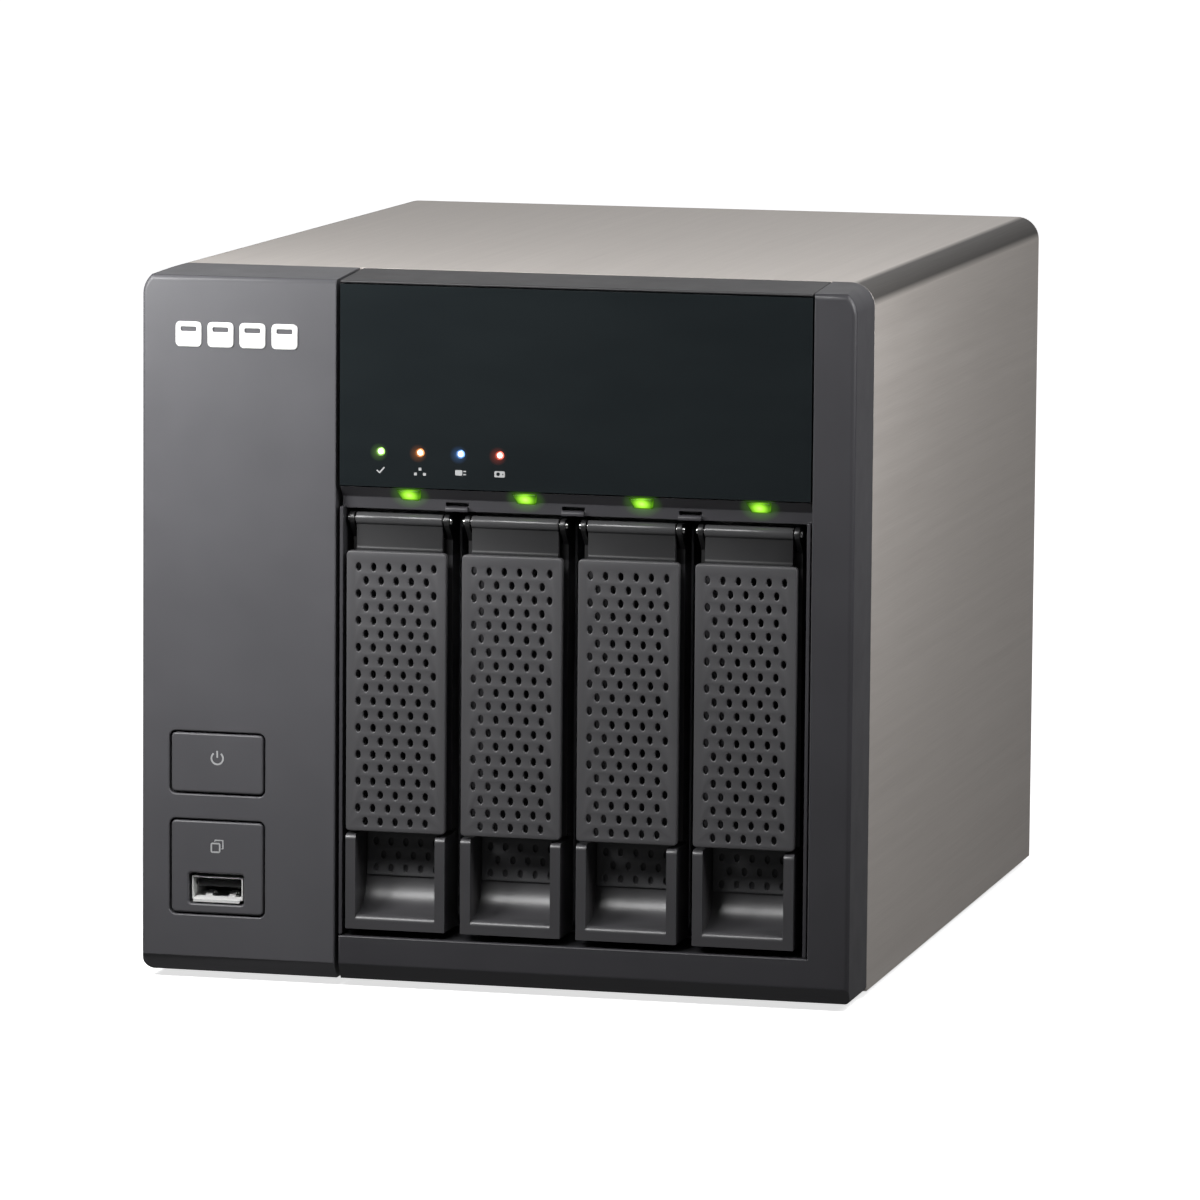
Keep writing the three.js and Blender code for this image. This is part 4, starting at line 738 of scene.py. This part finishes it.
def make_lever(number):
    low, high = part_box(f"tray_handle_{number}")
    pin = middle(f"hinge_pin_{number}")
    body = f"handle_body_{number}"
    plate_top = pin.z - LEVER_PLATE_DROP
    outline = rounded(low.x, high.x, low.z, plate_top, 0.9 * MM)
    holes = perforation(pin.x, low.z + LEVER_FIRST_ROW, LEVER_ROWS)
    mesh = solid("lever", [outline, *holes], low.y, low.y + LEVER_THICKNESS, FRONT_VIEW, 0.3 * MM)
    plate = piece(f"lever_{number}", mesh, "lever_plastic", body)
    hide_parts(f"tray_handle_{number}")
    make_barrel(number, pin, high, low.y + LEVER_THICKNESS)


def make_barrel(number, pin, high, plate_back):
    """The hinge bar, bored for the pin, and the web that hangs the plate from it."""
    body = f"handle_body_{number}"
    radius = high.z - pin.z
    left, right = pin.x - BAR_HALF_LENGTH, pin.x + BAR_HALF_LENGTH
    bore = ellipse(pin.y, pin.z, PIN_BORE_RADIUS, PIN_BORE_RADIUS, 20)
    bar = [ellipse(pin.y, pin.z, radius, radius, 40), bore]
    mesh = solid("bar", bar, left, right, SIDE_VIEW, 0.25 * MM)
    piece(f"lever_bar_{number}", mesh, "lever_plastic", body, "hinge_bar")
    web_front, web_back = pin.y - 0.7 * MM, pin.y + 0.8 * MM
    plate_top = pin.z - LEVER_PLATE_DROP
    fillet = web_front - plate_back
    outline = [(web_back, pin.z - WEB_TOP_DROP), (web_front, pin.z - WEB_TOP_DROP)]
    outline += arc(plate_back, plate_top + 0.1 * MM + fillet, fillet, fillet, 0, -90, 5)
    outline += [(plate_back, plate_top - WEB_LAP), (web_back, plate_top - WEB_LAP)]
    mesh = solid("web", [outline], left + 0.1 * MM, right - 0.1 * MM, SIDE_VIEW, 0.1 * MM)
    # The web wears the near-black copy of the lever plastic as painted shade.
    piece(f"lever_web_{number}", mesh, "lever_plastic", body, "lever_web")


def make_scoop_panel(number):
    """Perforated wall at the back of a tray's finger scoop."""
    low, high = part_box(f"tray_{number}")
    lever_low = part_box(f"tray_handle_{number}")[0]
    centre = (low.x + high.x) / 2
    half = (high.x - low.x) / 2 - PANEL_SIDE_MARGIN
    top = lever_low.z - 0.1 * MM
    bottom = top - PANEL_HEIGHT
    outline = rounded(centre - half, centre + half, bottom, top, 0.3 * MM, 2)
    holes = []
    for hole in perforation(centre, bottom + PANEL_FIRST_ROW, PANEL_ROWS):
        if all(abs(a - centre) < half - 0.4 * MM for a, _ in hole):
            holes.append(hole)
    front = low.y + SCOOP_DEPTH
    back = front + PANEL_THICKNESS
    mesh = solid("scoop_panel", [outline, *holes], front, back, FRONT_VIEW, 0.15 * MM)
    # The wall wears the lighter copy of the tray plastic as painted light.
    piece(f"scoop_panel_{number}", mesh, "tray_plastic", f"tray_body_{number}", "scoop_wall")


def make_pin_heads(number):
    """Domed ends of the hinge pin, outside the tray's two ears."""
    low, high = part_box(f"hinge_pin_{number}")
    pin = (low + high) / 2
    disc = [ellipse(pin.y, pin.z, PIN_HEAD_RADIUS, PIN_HEAD_RADIUS, 24)]
    overhang = 0.1 * MM
    for side, left in (("left", low.x), ("right", high.x - PIN_HEAD_LENGTH)):
        right = left + PIN_HEAD_LENGTH + overhang
        mesh = solid("pin_head", disc, left - overhang, right, SIDE_VIEW, 0.35 * MM)
        piece(f"pin_head_{side}_{number}", mesh, "polished_steel", f"tray_body_{number}")


for number in BAY_NUMBERS:
    make_lever(number)
    make_scoop_panel(number)
    make_pin_heads(number)


# ---------------------------------------------------------------- fans and rear fittings

# Each fan wheel's joint and body, the radius of its hub and of its blades' tips
FAN_WHEELS = {
    "fan_rotor": ("fan_spin", "fan_wheel", 17 * MM, 42.6 * MM),
    "psu_fan_rotor": ("psu_fan_spin", "psu_fan_wheel", 7.5 * MM, 17.2 * MM),
}
FAN_BLADES = 7
BLADE_SWEEP = math.radians(22)  # how far a blade's tip leads its root
BLADE_CHORD = math.radians(46)
BLADE_CAMBER = 0.16
BLADE_ROWS = 6
BLADE_STEPS = 10
BLADE_END_INSET = 1.5 * MM  # of the blades from the hub's ends
GUARD_RINGS = (12 * MM, 22 * MM, 32 * MM, 42 * MM)
GUARD_SPOKE_START = 11 * MM
GUARD_EYE_RADIUS = 3.2 * MM
GUARD_EYE_HOLE_RADIUS = 1.8 * MM
FAN_SCREW_OFFSET = 41.25 * MM  # of the fan's screws from its axis, across and up
FAN_SCREW_RADIUS = 2.7 * MM
FAN_SCREW_HALF_HEAD = 0.9 * MM  # length of the head to each side of the guard's back
COVER_SCREW_HEAD_LENGTH = 1.1 * MM
COVER_SCREW_SHANK_RADIUS = 1.6 * MM
RECESS_FLOOR_SHARE = 0.4  # height of a screw's recess floor, as a share of its head


def axis_of(joint_name):
    """A point on a joint's axis."""
    joints = frame["record"]["behaviour"]["joints"]
    return Vector(next(joint["pos_m"] for joint in joints if joint["name"] == joint_name))


def blade_points(turn, root, tip, front, back):
    """Rows of points over one swept and cambered blade, from hub to tip."""
    rows = []
    for i in range(BLADE_ROWS + 1):
        outward = i / BLADE_ROWS
        radius = root + (tip - root) * outward
        row = []
        for j in range(BLADE_STEPS + 1):
            along = j / BLADE_STEPS
            angle = turn + BLADE_SWEEP * outward + BLADE_CHORD * (along - 0.5)
            depth = front + (back - front) * (along - BLADE_CAMBER * math.sin(math.pi * along))
            row.append((radius * math.sin(angle), depth, radius * math.cos(angle)))
        rows.append(row)
    return rows


def sheets(name, grids):
    """One mesh of several grids of points."""
    points = []
    faces = []
    for rows in grids:
        first = len(points)
        width = len(rows[0])
        points += [point for row in rows for point in row]
        for i in range(len(rows) - 1):
            for corner in range(first + i * width, first + (i + 1) * width - 1):
                faces.append((corner, corner + 1, corner + width + 1, corner + width))
    mesh = bpy.data.meshes.new(name)
    mesh.from_pydata(points, [], faces)
    mesh.shade_smooth()
    return mesh


def make_fan_wheel(node):
    """A hub cup and swept blades on a fan's axis."""
    joint, body, hub_radius, tip = FAN_WHEELS[node]
    low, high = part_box(node)
    centre = axis_of(joint)
    ring = ellipse(centre.x, centre.z, hub_radius, hub_radius, 48)
    mesh = solid("hub", [ring], low.y, high.y, FRONT_VIEW, 0.8 * MM)
    hub = piece(f"{node}_hub", mesh, "black_plastic", body)
    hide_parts(node)
    front, back = low.y + BLADE_END_INSET, high.y - BLADE_END_INSET
    root = hub_radius - 0.4 * MM
    turns = [math.tau * i / FAN_BLADES for i in range(FAN_BLADES)]
    mesh = sheets("blades", [blade_points(turn, root, tip, front, back) for turn in turns])
    mesh.transform(Matrix.Translation((centre.x, 0, centre.z)))
    blades = piece(f"{node}_blades", mesh, "black_plastic", body)
    thickness = blades.modifiers.new("blade_thickness", "SOLIDIFY")
    thickness.thickness = tip / 30
    thickness.offset = 0


def cross(a, b, reach, half):
    """Outline of the cross recess in a screw head."""
    quarter = [(half, reach), (half, half), (reach, half)]
    points = []
    for _ in range(4):
        points += [(a + x, b + z) for x, z in quarter]
        quarter = [(z, -x) for x, z in quarter]
    return points


def screw_head(x, z, seat, top, radius):
    """A screw head that faces backwards, with a cross recess in its upper part."""
    recess_floor = seat + (top - seat) * RECESS_FLOOR_SHARE
    disc = ellipse(x, z, radius, radius, 32)
    inner = ellipse(x, z, radius - 0.4 * MM, radius - 0.4 * MM, 32)
    base = solid("screw_base", [inner], seat, recess_floor, FRONT_VIEW)
    crown = [disc, cross(x, z, radius * 0.6, radius * 0.14)]
    return joined(base, solid("screw_crown", crown, recess_floor, top, FRONT_VIEW, 0.25 * MM))


def make_cover_screw(number):
    node = f"cover_screw_{number}"
    low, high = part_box(node)
    centre = (low + high) / 2
    seat = high.y - COVER_SCREW_HEAD_LENGTH
    radius = COVER_SCREW_SHANK_RADIUS
    ring = ellipse(centre.x, centre.z, radius, radius, 20)
    shank = solid("shank", [ring], low.y, seat, FRONT_VIEW, 0.2 * MM)
    head = screw_head(centre.x, centre.z, seat, high.y, (high.x - low.x) / 2)
    screw = piece(f"{node}_cross_head", joined(shank, head), "polished_steel", "housing")
    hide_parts(node)


def make_guard():
    """Wire rings and spokes over the fan, with a screw through the eye at each spoke's end."""
    low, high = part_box("fan_guard")
    centre = axis_of("fan_spin")
    depth = (low.y + high.y) / 2
    wire = (high.y - low.y) / 2
    rings = []
    for radius in GUARD_RINGS:
        rings.append([(x, depth, z) for x, z in ellipse(centre.x, centre.z, radius, radius, 96)])
    mesh = wires("rings", rings, wire, looped=True)
    guard = piece("guard_rings", mesh, "polished_steel", "housing")
    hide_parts("fan_guard")
    spokes = []
    for side, sideways in (("left", -1), ("right", 1)):
        for level, upwards in (("lower", -1), ("upper", 1)):
            outward = Vector((sideways, 0, upwards)) * FAN_SCREW_OFFSET
            ends = (GUARD_SPOKE_START, outward.length - GUARD_EYE_RADIUS + 0.3 * MM)
            points = [centre + outward.normalized() * reach for reach in ends]
            spokes.append([(point.x, depth, point.z) for point in points])
            make_guard_eye(f"{level}_{side}", centre + outward, low.y, high.y)
    mesh = wires("spokes", spokes, wire, looped=False)
    piece("guard_spokes", mesh, "polished_steel", "housing")


def make_guard_eye(name, centre, front, back):
    """Flattened eye at the end of a guard's spoke, and the screw through it."""
    rings = [ellipse(centre.x, centre.z, r, r, 32) for r in (GUARD_EYE_RADIUS, GUARD_EYE_HOLE_RADIUS)]
    mesh = solid("eye", rings, front, back, FRONT_VIEW, 0.3 * MM)
    piece(f"guard_eye_{name}", mesh, "polished_steel", "housing")
    seat, top = back - FAN_SCREW_HALF_HEAD, back + FAN_SCREW_HALF_HEAD
    head = screw_head(centre.x, centre.z, seat, top, FAN_SCREW_RADIUS)
    piece(f"guard_screw_{name}", head, "black_plastic", "housing")


# Columns, column pitch and row pitch of the openings in each bank of two rows
PORT_GRIDS = {
    "rear_usb_ports": (2, 7.6 * MM, 15 * MM),
    "lan_ports": (1, 0, 15.8 * MM),
    "esata_ports": (1, 0, 12 * MM),
}
# Width and height of an opening, and of the tongue in it
PORT_OPENINGS = {
    "rear_usb_ports": (5.4 * MM, 12.4 * MM),
    "lan_ports": (9 * MM, 11.8 * MM),
    "esata_ports": (3.4 * MM, 8.6 * MM),
}
TONGUES = {"rear_usb_ports": (1.9 * MM, 11 * MM), "esata_ports": (1 * MM, 6.6 * MM)}
TONGUE_CONTACTS = 4
TONGUE_PITCHES = 4.6  # contact pitches in the height of a tongue
TONGUE_INSET = 0.6 * MM  # from the left side of its opening
PORT_DEPTH = 9 * MM
NETWORK_CONTACTS = 8
NETWORK_PITCH = 1.02 * MM


def port_centres(node):
    low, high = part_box(node)
    columns, column_pitch, row_pitch = PORT_GRIDS[node]
    centre = (low + high) / 2
    centres = []
    for column in range(columns):
        x = centre.x + (column - (columns - 1) / 2) * column_pitch
        centres += [(x, centre.z - row_pitch / 2), (x, centre.z + row_pitch / 2)]
    return centres


def make_port(node):
    """Metal sleeve of a bank of rear sockets, with a black core behind it."""
    low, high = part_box(node)
    half_width, half_height = (edge / 2 for edge in PORT_OPENINGS[node])
    outline = rounded(low.x, high.x, low.z, high.z, 0.4 * MM)
    holes = []
    for x, z in port_centres(node):
        left, right = x - half_width, x + half_width
        holes.append(rounded(left, right, z - half_height, z + half_height, 0.5 * MM))
    floor = high.y - PORT_DEPTH
    mesh = solid("sleeve", [outline, *holes], floor, high.y, FRONT_VIEW, 0.2 * MM)
    sleeve = piece(f"{node}_sleeve", mesh, "cast_aluminium", "housing", "satin_steel")
    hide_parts(node)
    core = solid("core", [outline], low.y, floor, FRONT_VIEW, 0.1 * MM)
    piece(f"{node}_core", core, "cast_aluminium", "housing", "black_plastic")


def make_tongues(node):
    """Black tongue with gold contacts in each upright socket."""
    width, height = TONGUES[node]
    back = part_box(node)[1].y
    front, end = back - PORT_DEPTH - 0.5 * MM, back - 1.2 * MM
    for number, (x, z) in enumerate(port_centres(node), 1):
        left = x - PORT_OPENINGS[node][0] / 2 + TONGUE_INSET
        right = left + width
        outline = rounded(left, right, z - height / 2, z + height / 2, 0.2 * MM, 2)
        mesh = solid("tongue", [outline], front, end, FRONT_VIEW, 0.1 * MM)
        piece(f"{node}_tongue_{number}", mesh, "cast_aluminium", "housing", "black_plastic")
        contacts = []
        for contact in range(TONGUE_CONTACTS):
            level = z + (contact - (TONGUE_CONTACTS - 1) / 2) * height / TONGUE_PITCHES
            contacts.append([(right, front, level), (right, end - 0.8 * MM, level)])
        mesh = wires("contacts", contacts, 0.3 * MM, looped=False)
        piece(f"{node}_contacts_{number}", mesh, "cast_aluminium", "housing", "gold_contact")


def make_network_contacts():
    """Row of slanting contact wires in each network socket."""
    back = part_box("lan_ports")[1].y
    outer, inner = back - 2.5 * MM, back - PORT_DEPTH - 0.3 * MM
    for number, (x, z) in enumerate(port_centres("lan_ports"), 1):
        contacts = []
        for contact in range(NETWORK_CONTACTS):
            level = z + (contact - (NETWORK_CONTACTS - 1) / 2) * NETWORK_PITCH
            contacts.append([(x - 4.3 * MM, outer, level), (x - 1 * MM, inner, level)])
        mesh = wires("contacts", contacts, 0.2 * MM, looped=False)
        piece(f"lan_contacts_{number}", mesh, "cast_aluminium", "housing", "gold_contact")


def make_drive_label(number):
    """Blank paper label on the lid of a drive."""
    low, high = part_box(f"hard_drive_{number}")
    front, back = low.y + 30 * MM, high.y - 34 * MM
    outline = rounded(front, back, low.z + 15 * MM, high.z - 15 * MM, 2 * MM)
    mesh = solid("label", [outline], low.x - 0.06 * MM, low.x + 0.02 * MM, SIDE_VIEW)
    piece(f"drive_label_{number}", mesh, "cast_aluminium", f"tray_body_{number}", "label_paper")


FRONT_PORT_WALL = 0.4 * MM
SPRING_INSET = 3.6 * MM  # of each spring's middle from the shell's side
SPRING_HALF_WIDTH = 0.9 * MM


def make_front_port_metal():
    """Flared lower lip and two contact springs in the front port."""
    low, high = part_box("front_usb_shell")
    floor = low.z + FRONT_PORT_WALL
    lip = [
        (low.y - 1 * MM, floor - 0.85 * MM),
        (low.y - 1 * MM, floor - 0.2 * MM),
        (low.y + 1.8 * MM, floor + 0.35 * MM),
        (low.y + 1.8 * MM, floor - 0.2 * MM),
        (low.y - 0.05 * MM, floor - 0.5 * MM),
    ]
    mesh = solid("lip", [lip], low.x + 0.6 * MM, high.x - 0.6 * MM, SIDE_VIEW, 0.06 * MM)
    piece("front_usb_lip", mesh, "polished_steel", "housing", "satin_silver")
    upper = [(2, 0.1), (4, 1.0), (5.4, 1.25), (7.6, 0.1)]
    lower = [(7.6, -0.1), (5.4, 0.95), (4, 0.7), (2, -0.1)]
    strip = [(low.y + y * MM, floor + z * MM) for y, z in upper + lower]
    for side, x in (("left", low.x + SPRING_INSET), ("right", high.x - SPRING_INSET)):
        left, right = x - SPRING_HALF_WIDTH, x + SPRING_HALF_WIDTH
        mesh = solid("spring", [strip], left, right, SIDE_VIEW, 0.05 * MM)
        piece(f"front_usb_spring_{side}", mesh, "polished_steel", "housing", "satin_silver")


for node in FAN_WHEELS:
    make_fan_wheel(node)
make_guard()
for number in (1, 2):
    make_cover_screw(number)
for node in PORT_GRIDS:
    make_port(node)
for node in TONGUES:
    make_tongues(node)
make_network_contacts()
for number in BAY_NUMBERS:
    make_drive_label(number)
make_front_port_metal()


# ---------------------------------------------------------------- marks on the front

KEY_SIGN_SIZE = 1.5 * MM
STATUS_SIGN_SIZE = 0.95 * MM
STATUS_SIGN_DROP = 4.6 * MM  # below the status lights


def make_emblem():
    """A generic sign for four bays: upright tablets in a row, standing proud of the fascia."""
    low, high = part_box("left_fascia")
    top = high.z - 12.6 * MM
    height, width, pitch = 6.2 * MM, 6.6 * MM, 8.2 * MM
    wall = 1.25 * MM
    left = low.x + 8.8 * MM
    loops = []
    for i in BAY_NUMBERS:
        start = left + (i - 1) * pitch
        end = start + width
        slot_low, slot_high = top - height + 3 * wall, top - wall
        loops.append(rounded(start, end, top - height, top, 1.1 * MM))
        loops.append(rounded(start + wall, end - wall, slot_low, slot_high, 0.4 * MM))
    mesh = solid("emblem", loops, low.y - 0.35 * MM, low.y + 0.1 * MM, FRONT_VIEW, 0.1 * MM)
    piece("bay_emblem", mesh, "polished_steel", "housing", "satin_silver")


def stroke(points, width, closed=False):
    """Outline of a line of constant width through the points, or the pair of a closed ring's."""
    count = len(points)
    sides = ([], [])
    for i, point in enumerate(points):
        before = points[(i - 1) % count] if closed or i else point
        after = points[(i + 1) % count] if closed or i < count - 1 else point
        along = Vector((after[0] - before[0], after[1] - before[1])).normalized()
        for side, sign in zip(sides, (1, -1)):
            out = sign * width / 2
            side.append((point[0] - along.y * out, point[1] + along.x * out))
    if closed:
        return list(sides)
    return [sides[0] + sides[1][::-1]]


def power_sign(a, b, size):
    ring = arc(a, b, size, size, 128, 412, 28)
    bar = [(a, b + 0.1 * size), (a, b + 1.25 * size)]
    return stroke(ring, 0.28 * size) + stroke(bar, 0.28 * size)


def copy_sign(a, b, size):
    """Two sheets, one behind the other."""
    front = rounded(a - size, a + 0.45 * size, b - size, b + 0.45 * size, 0.2 * size, 3)
    back = [
        (a - 0.4 * size, b + 0.75 * size),
        (a - 0.4 * size, b + size),
        (a + size, b + size),
        (a + size, b - 0.4 * size),
        (a + 0.75 * size, b - 0.4 * size),
    ]
    return stroke(front, 0.26 * size, closed=True) + stroke(back, 0.24 * size)


def tick_sign(a, b, size):
    points = [(a - size, b), (a - 0.3 * size, b - 0.7 * size), (a + size, b + 0.8 * size)]
    return stroke(points, 0.4 * size)


def network_sign(a, b, size):
    side, low = 1.2 * size, b - 0.7 * size
    boxes = [(a, b + 0.6 * size), (a - side, low), (a + side, low)]
    half = 0.38 * size
    return [rounded(x - half, x + half, z - half, z + half, 0.1 * size, 2) for x, z in boxes]


def plug_sign(a, b, size):
    body = rounded(a - 1.4 * size, a + 0.5 * size, b - 0.7 * size, b + 0.7 * size, 0.2 * size, 2)
    start, end, half = a + 0.75 * size, a + 1.5 * size, 0.15 * size
    prongs = []
    for level in (b - 0.4 * size, b + 0.4 * size):
        prongs.append(rounded(start, end, level - half, level + half, 0.05 * size, 2))
    return [body, *prongs]


def disk_sign(a, b, size):
    outer = rounded(a - 1.4 * size, a + 1.4 * size, b - 0.8 * size, b + 0.8 * size, 0.3 * size, 3)
    platter = ellipse(a - 0.4 * size, b, 0.5 * size, 0.5 * size, 14)
    lamp = ellipse(a + 0.85 * size, b, 0.2 * size, 0.2 * size, 8)
    return [outer, platter, lamp]


def print_mark(name, loops, surface_y, slot, body):
    mesh = solid(name, loops, surface_y - 0.04 * MM, surface_y + 0.02 * MM, FRONT_VIEW)
    piece(name, mesh, slot, body, "printed_mark")


def make_key_marks():
    low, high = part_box("power_button")
    centre = (low.x + high.x) / 2
    sign = power_sign(centre, (low.z + high.z) / 2 + 1.3 * MM, KEY_SIGN_SIZE)
    print_mark("power_mark", sign, low.y, "fascia_plastic", "power_key")
    low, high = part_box("copy_button")
    sign = copy_sign(centre, high.z - 7.6 * MM, KEY_SIGN_SIZE)
    print_mark("copy_mark", sign, low.y, "fascia_plastic", "copy_key")


def make_status_marks():
    signs = {"tick": tick_sign, "network": network_sign, "plug": plug_sign, "disk": disk_sign}
    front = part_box("display_window")[0].y
    for (name, draw), (x, z) in zip(signs.items(), status_places()):
        sign = draw(x, z - STATUS_SIGN_DROP, STATUS_SIGN_SIZE)
        print_mark(f"status_mark_{name}", sign, front, "window_gloss", "housing")


make_emblem()
make_key_marks()
make_status_marks()


# ---------------------------------------------------------------- stage, light and camera

CAMERA_AZIMUTH = math.radians(13.995)
CAMERA_ELEVATION = math.radians(7.44)
CAMERA_ROLL = math.radians(0.456)
CAMERA_DISTANCE = 1.9472
CAMERA_LENS = 224.71  # mm, on a sensor 36 mm wide
CAMERA_AIM = Vector((-2.1, -1.1, 83.7)) * MM


def make_floor():
    """White paper that keeps its brightness far behind the object, as a lit sweep does."""
    size = 40.0
    mesh = bpy.data.meshes.new("floor")
    corners = [(-size, -size, 0), (size, -size, 0), (size, size, 0), (-size, size, 0)]
    mesh.from_pydata(corners, [], [(0, 1, 2, 3)])
    shader = Shader("floor_paper")
    tone = shader.ramp(shader.noise((0.4,) * 3), (0.3, (0.87,) * 3), (0.7, (0.89,) * 3))
    away = shader.add("ShaderNodeVectorMath", {0: shader.place}, operation="LENGTH").outputs["Value"]
    glow = shader.add(
        "ShaderNodeMapRange",
        {"Value": away, "From Min": 0.15, "From Max": 0.6, "To Min": 0.8, "To Max": 1.15},
    )
    mesh.materials.append(
        shader.finish(
            Base_Color=tone,
            Roughness=0.9,
            Emission_Color=tone,
            Emission_Strength=glow.outputs["Result"],
        )
    )
    floor = bpy.data.objects.new("floor", mesh)
    bpy.context.scene.collection.objects.link(floor)
    floor.visible_glossy = False
    floor.visible_diffuse = False
    floor.visible_shadow = False


BACKDROP_DIRECTION = Vector((-0.235, 0.965, 0.13)).normalized()
BACKDROP_LEVEL = 0.62
SURROUND_LEVEL = 0.035
FLOOR_LEVEL = 0.2


def make_world():
    """A dim room with pale light from the floor and one soft backdrop that the cover mirrors."""
    world = bpy.data.worlds.new("surround")
    bpy.context.scene.world = world
    world.use_nodes = True
    nodes, links = world.node_tree.nodes, world.node_tree.links
    direction = nodes.new("ShaderNodeTexCoord").outputs["Generated"]

    def patch(towards, wide, narrow, level):
        """Brightness that rises to level within narrow degrees of a direction."""
        facing = nodes.new("ShaderNodeVectorMath")
        facing.operation = "DOT_PRODUCT"
        facing.inputs[1].default_value = towards
        links.new(direction, facing.inputs[0])
        rise = nodes.new("ShaderNodeMapRange")
        rise.interpolation_type = "SMOOTHSTEP"
        rise.inputs["From Min"].default_value = math.cos(math.radians(wide))
        rise.inputs["From Max"].default_value = math.cos(math.radians(narrow))
        rise.inputs["To Min"].default_value = SURROUND_LEVEL
        rise.inputs["To Max"].default_value = level
        links.new(facing.outputs["Value"], rise.inputs["Value"])
        return rise.outputs["Result"]

    brighter = nodes.new("ShaderNodeMath")
    brighter.operation = "MAXIMUM"
    links.new(patch(BACKDROP_DIRECTION, 36, 10, BACKDROP_LEVEL), brighter.inputs[0])
    links.new(patch(Vector((0, 0, -1)), 72, 35, FLOOR_LEVEL), brighter.inputs[1])
    links.new(brighter.outputs[0], nodes["Background"].inputs["Color"])


def make_light(name, place, target, width, height, power):
    """A soft box that faces the target. It isn't seen by the camera."""
    data = bpy.data.lights.new(name, "AREA")
    data.shape = "RECTANGLE"
    data.size = width
    data.size_y = height
    data.energy = power
    light = bpy.data.objects.new(name, data)
    bpy.context.scene.collection.objects.link(light)
    light.location = place
    light.rotation_euler = (Vector(target) - Vector(place)).to_track_quat("-Z", "Y").to_euler()
    light.visible_camera = False


def make_camera():
    """A long lens to the right of the front and a little above, as the object was shown."""
    data = bpy.data.cameras.new("camera")
    data.lens = CAMERA_LENS
    data.sensor_width = 36.0
    camera = bpy.data.objects.new("camera", data)
    bpy.context.scene.collection.objects.link(camera)
    level = math.cos(CAMERA_ELEVATION)
    sideways, forwards = math.sin(CAMERA_AZIMUTH) * level, math.cos(CAMERA_AZIMUTH) * level
    back = Vector((sideways, -forwards, math.sin(CAMERA_ELEVATION)))
    camera.location = CAMERA_AIM + back * CAMERA_DISTANCE
    camera.rotation_mode = "QUATERNION"
    roll = Quaternion((0, 0, 1), CAMERA_ROLL)
    camera.rotation_quaternion = (-back).to_track_quat("-Z", "Y") @ roll
    bpy.context.scene.camera = camera


make_floor()
make_world()
make_light("key", (-0.17, -0.25, 0.22), (-0.06, -0.11, 0.13), 0.09, 0.09, 0.62)
make_light("streak", (-0.06, -0.35, 0.30), (0.02, -0.11, 0.06), 0.12, 0.08, 0.50)
make_light("right_key", (0.24, -0.25, 0.28), (0.09, -0.05, 0.13), 0.12, 0.12, 0.04)
make_light("right_near", (0.23, -0.17, 0.22), (0.09, -0.09, 0.13), 0.08, 0.08, 0.24)
make_light("overhead", (0.42, 0.0, 0.65), (0.02, 0.0, 0.17), 0.8, 0.8, 3.6)
make_camera()
bpy.context.scene.view_settings.view_transform = "Standard"
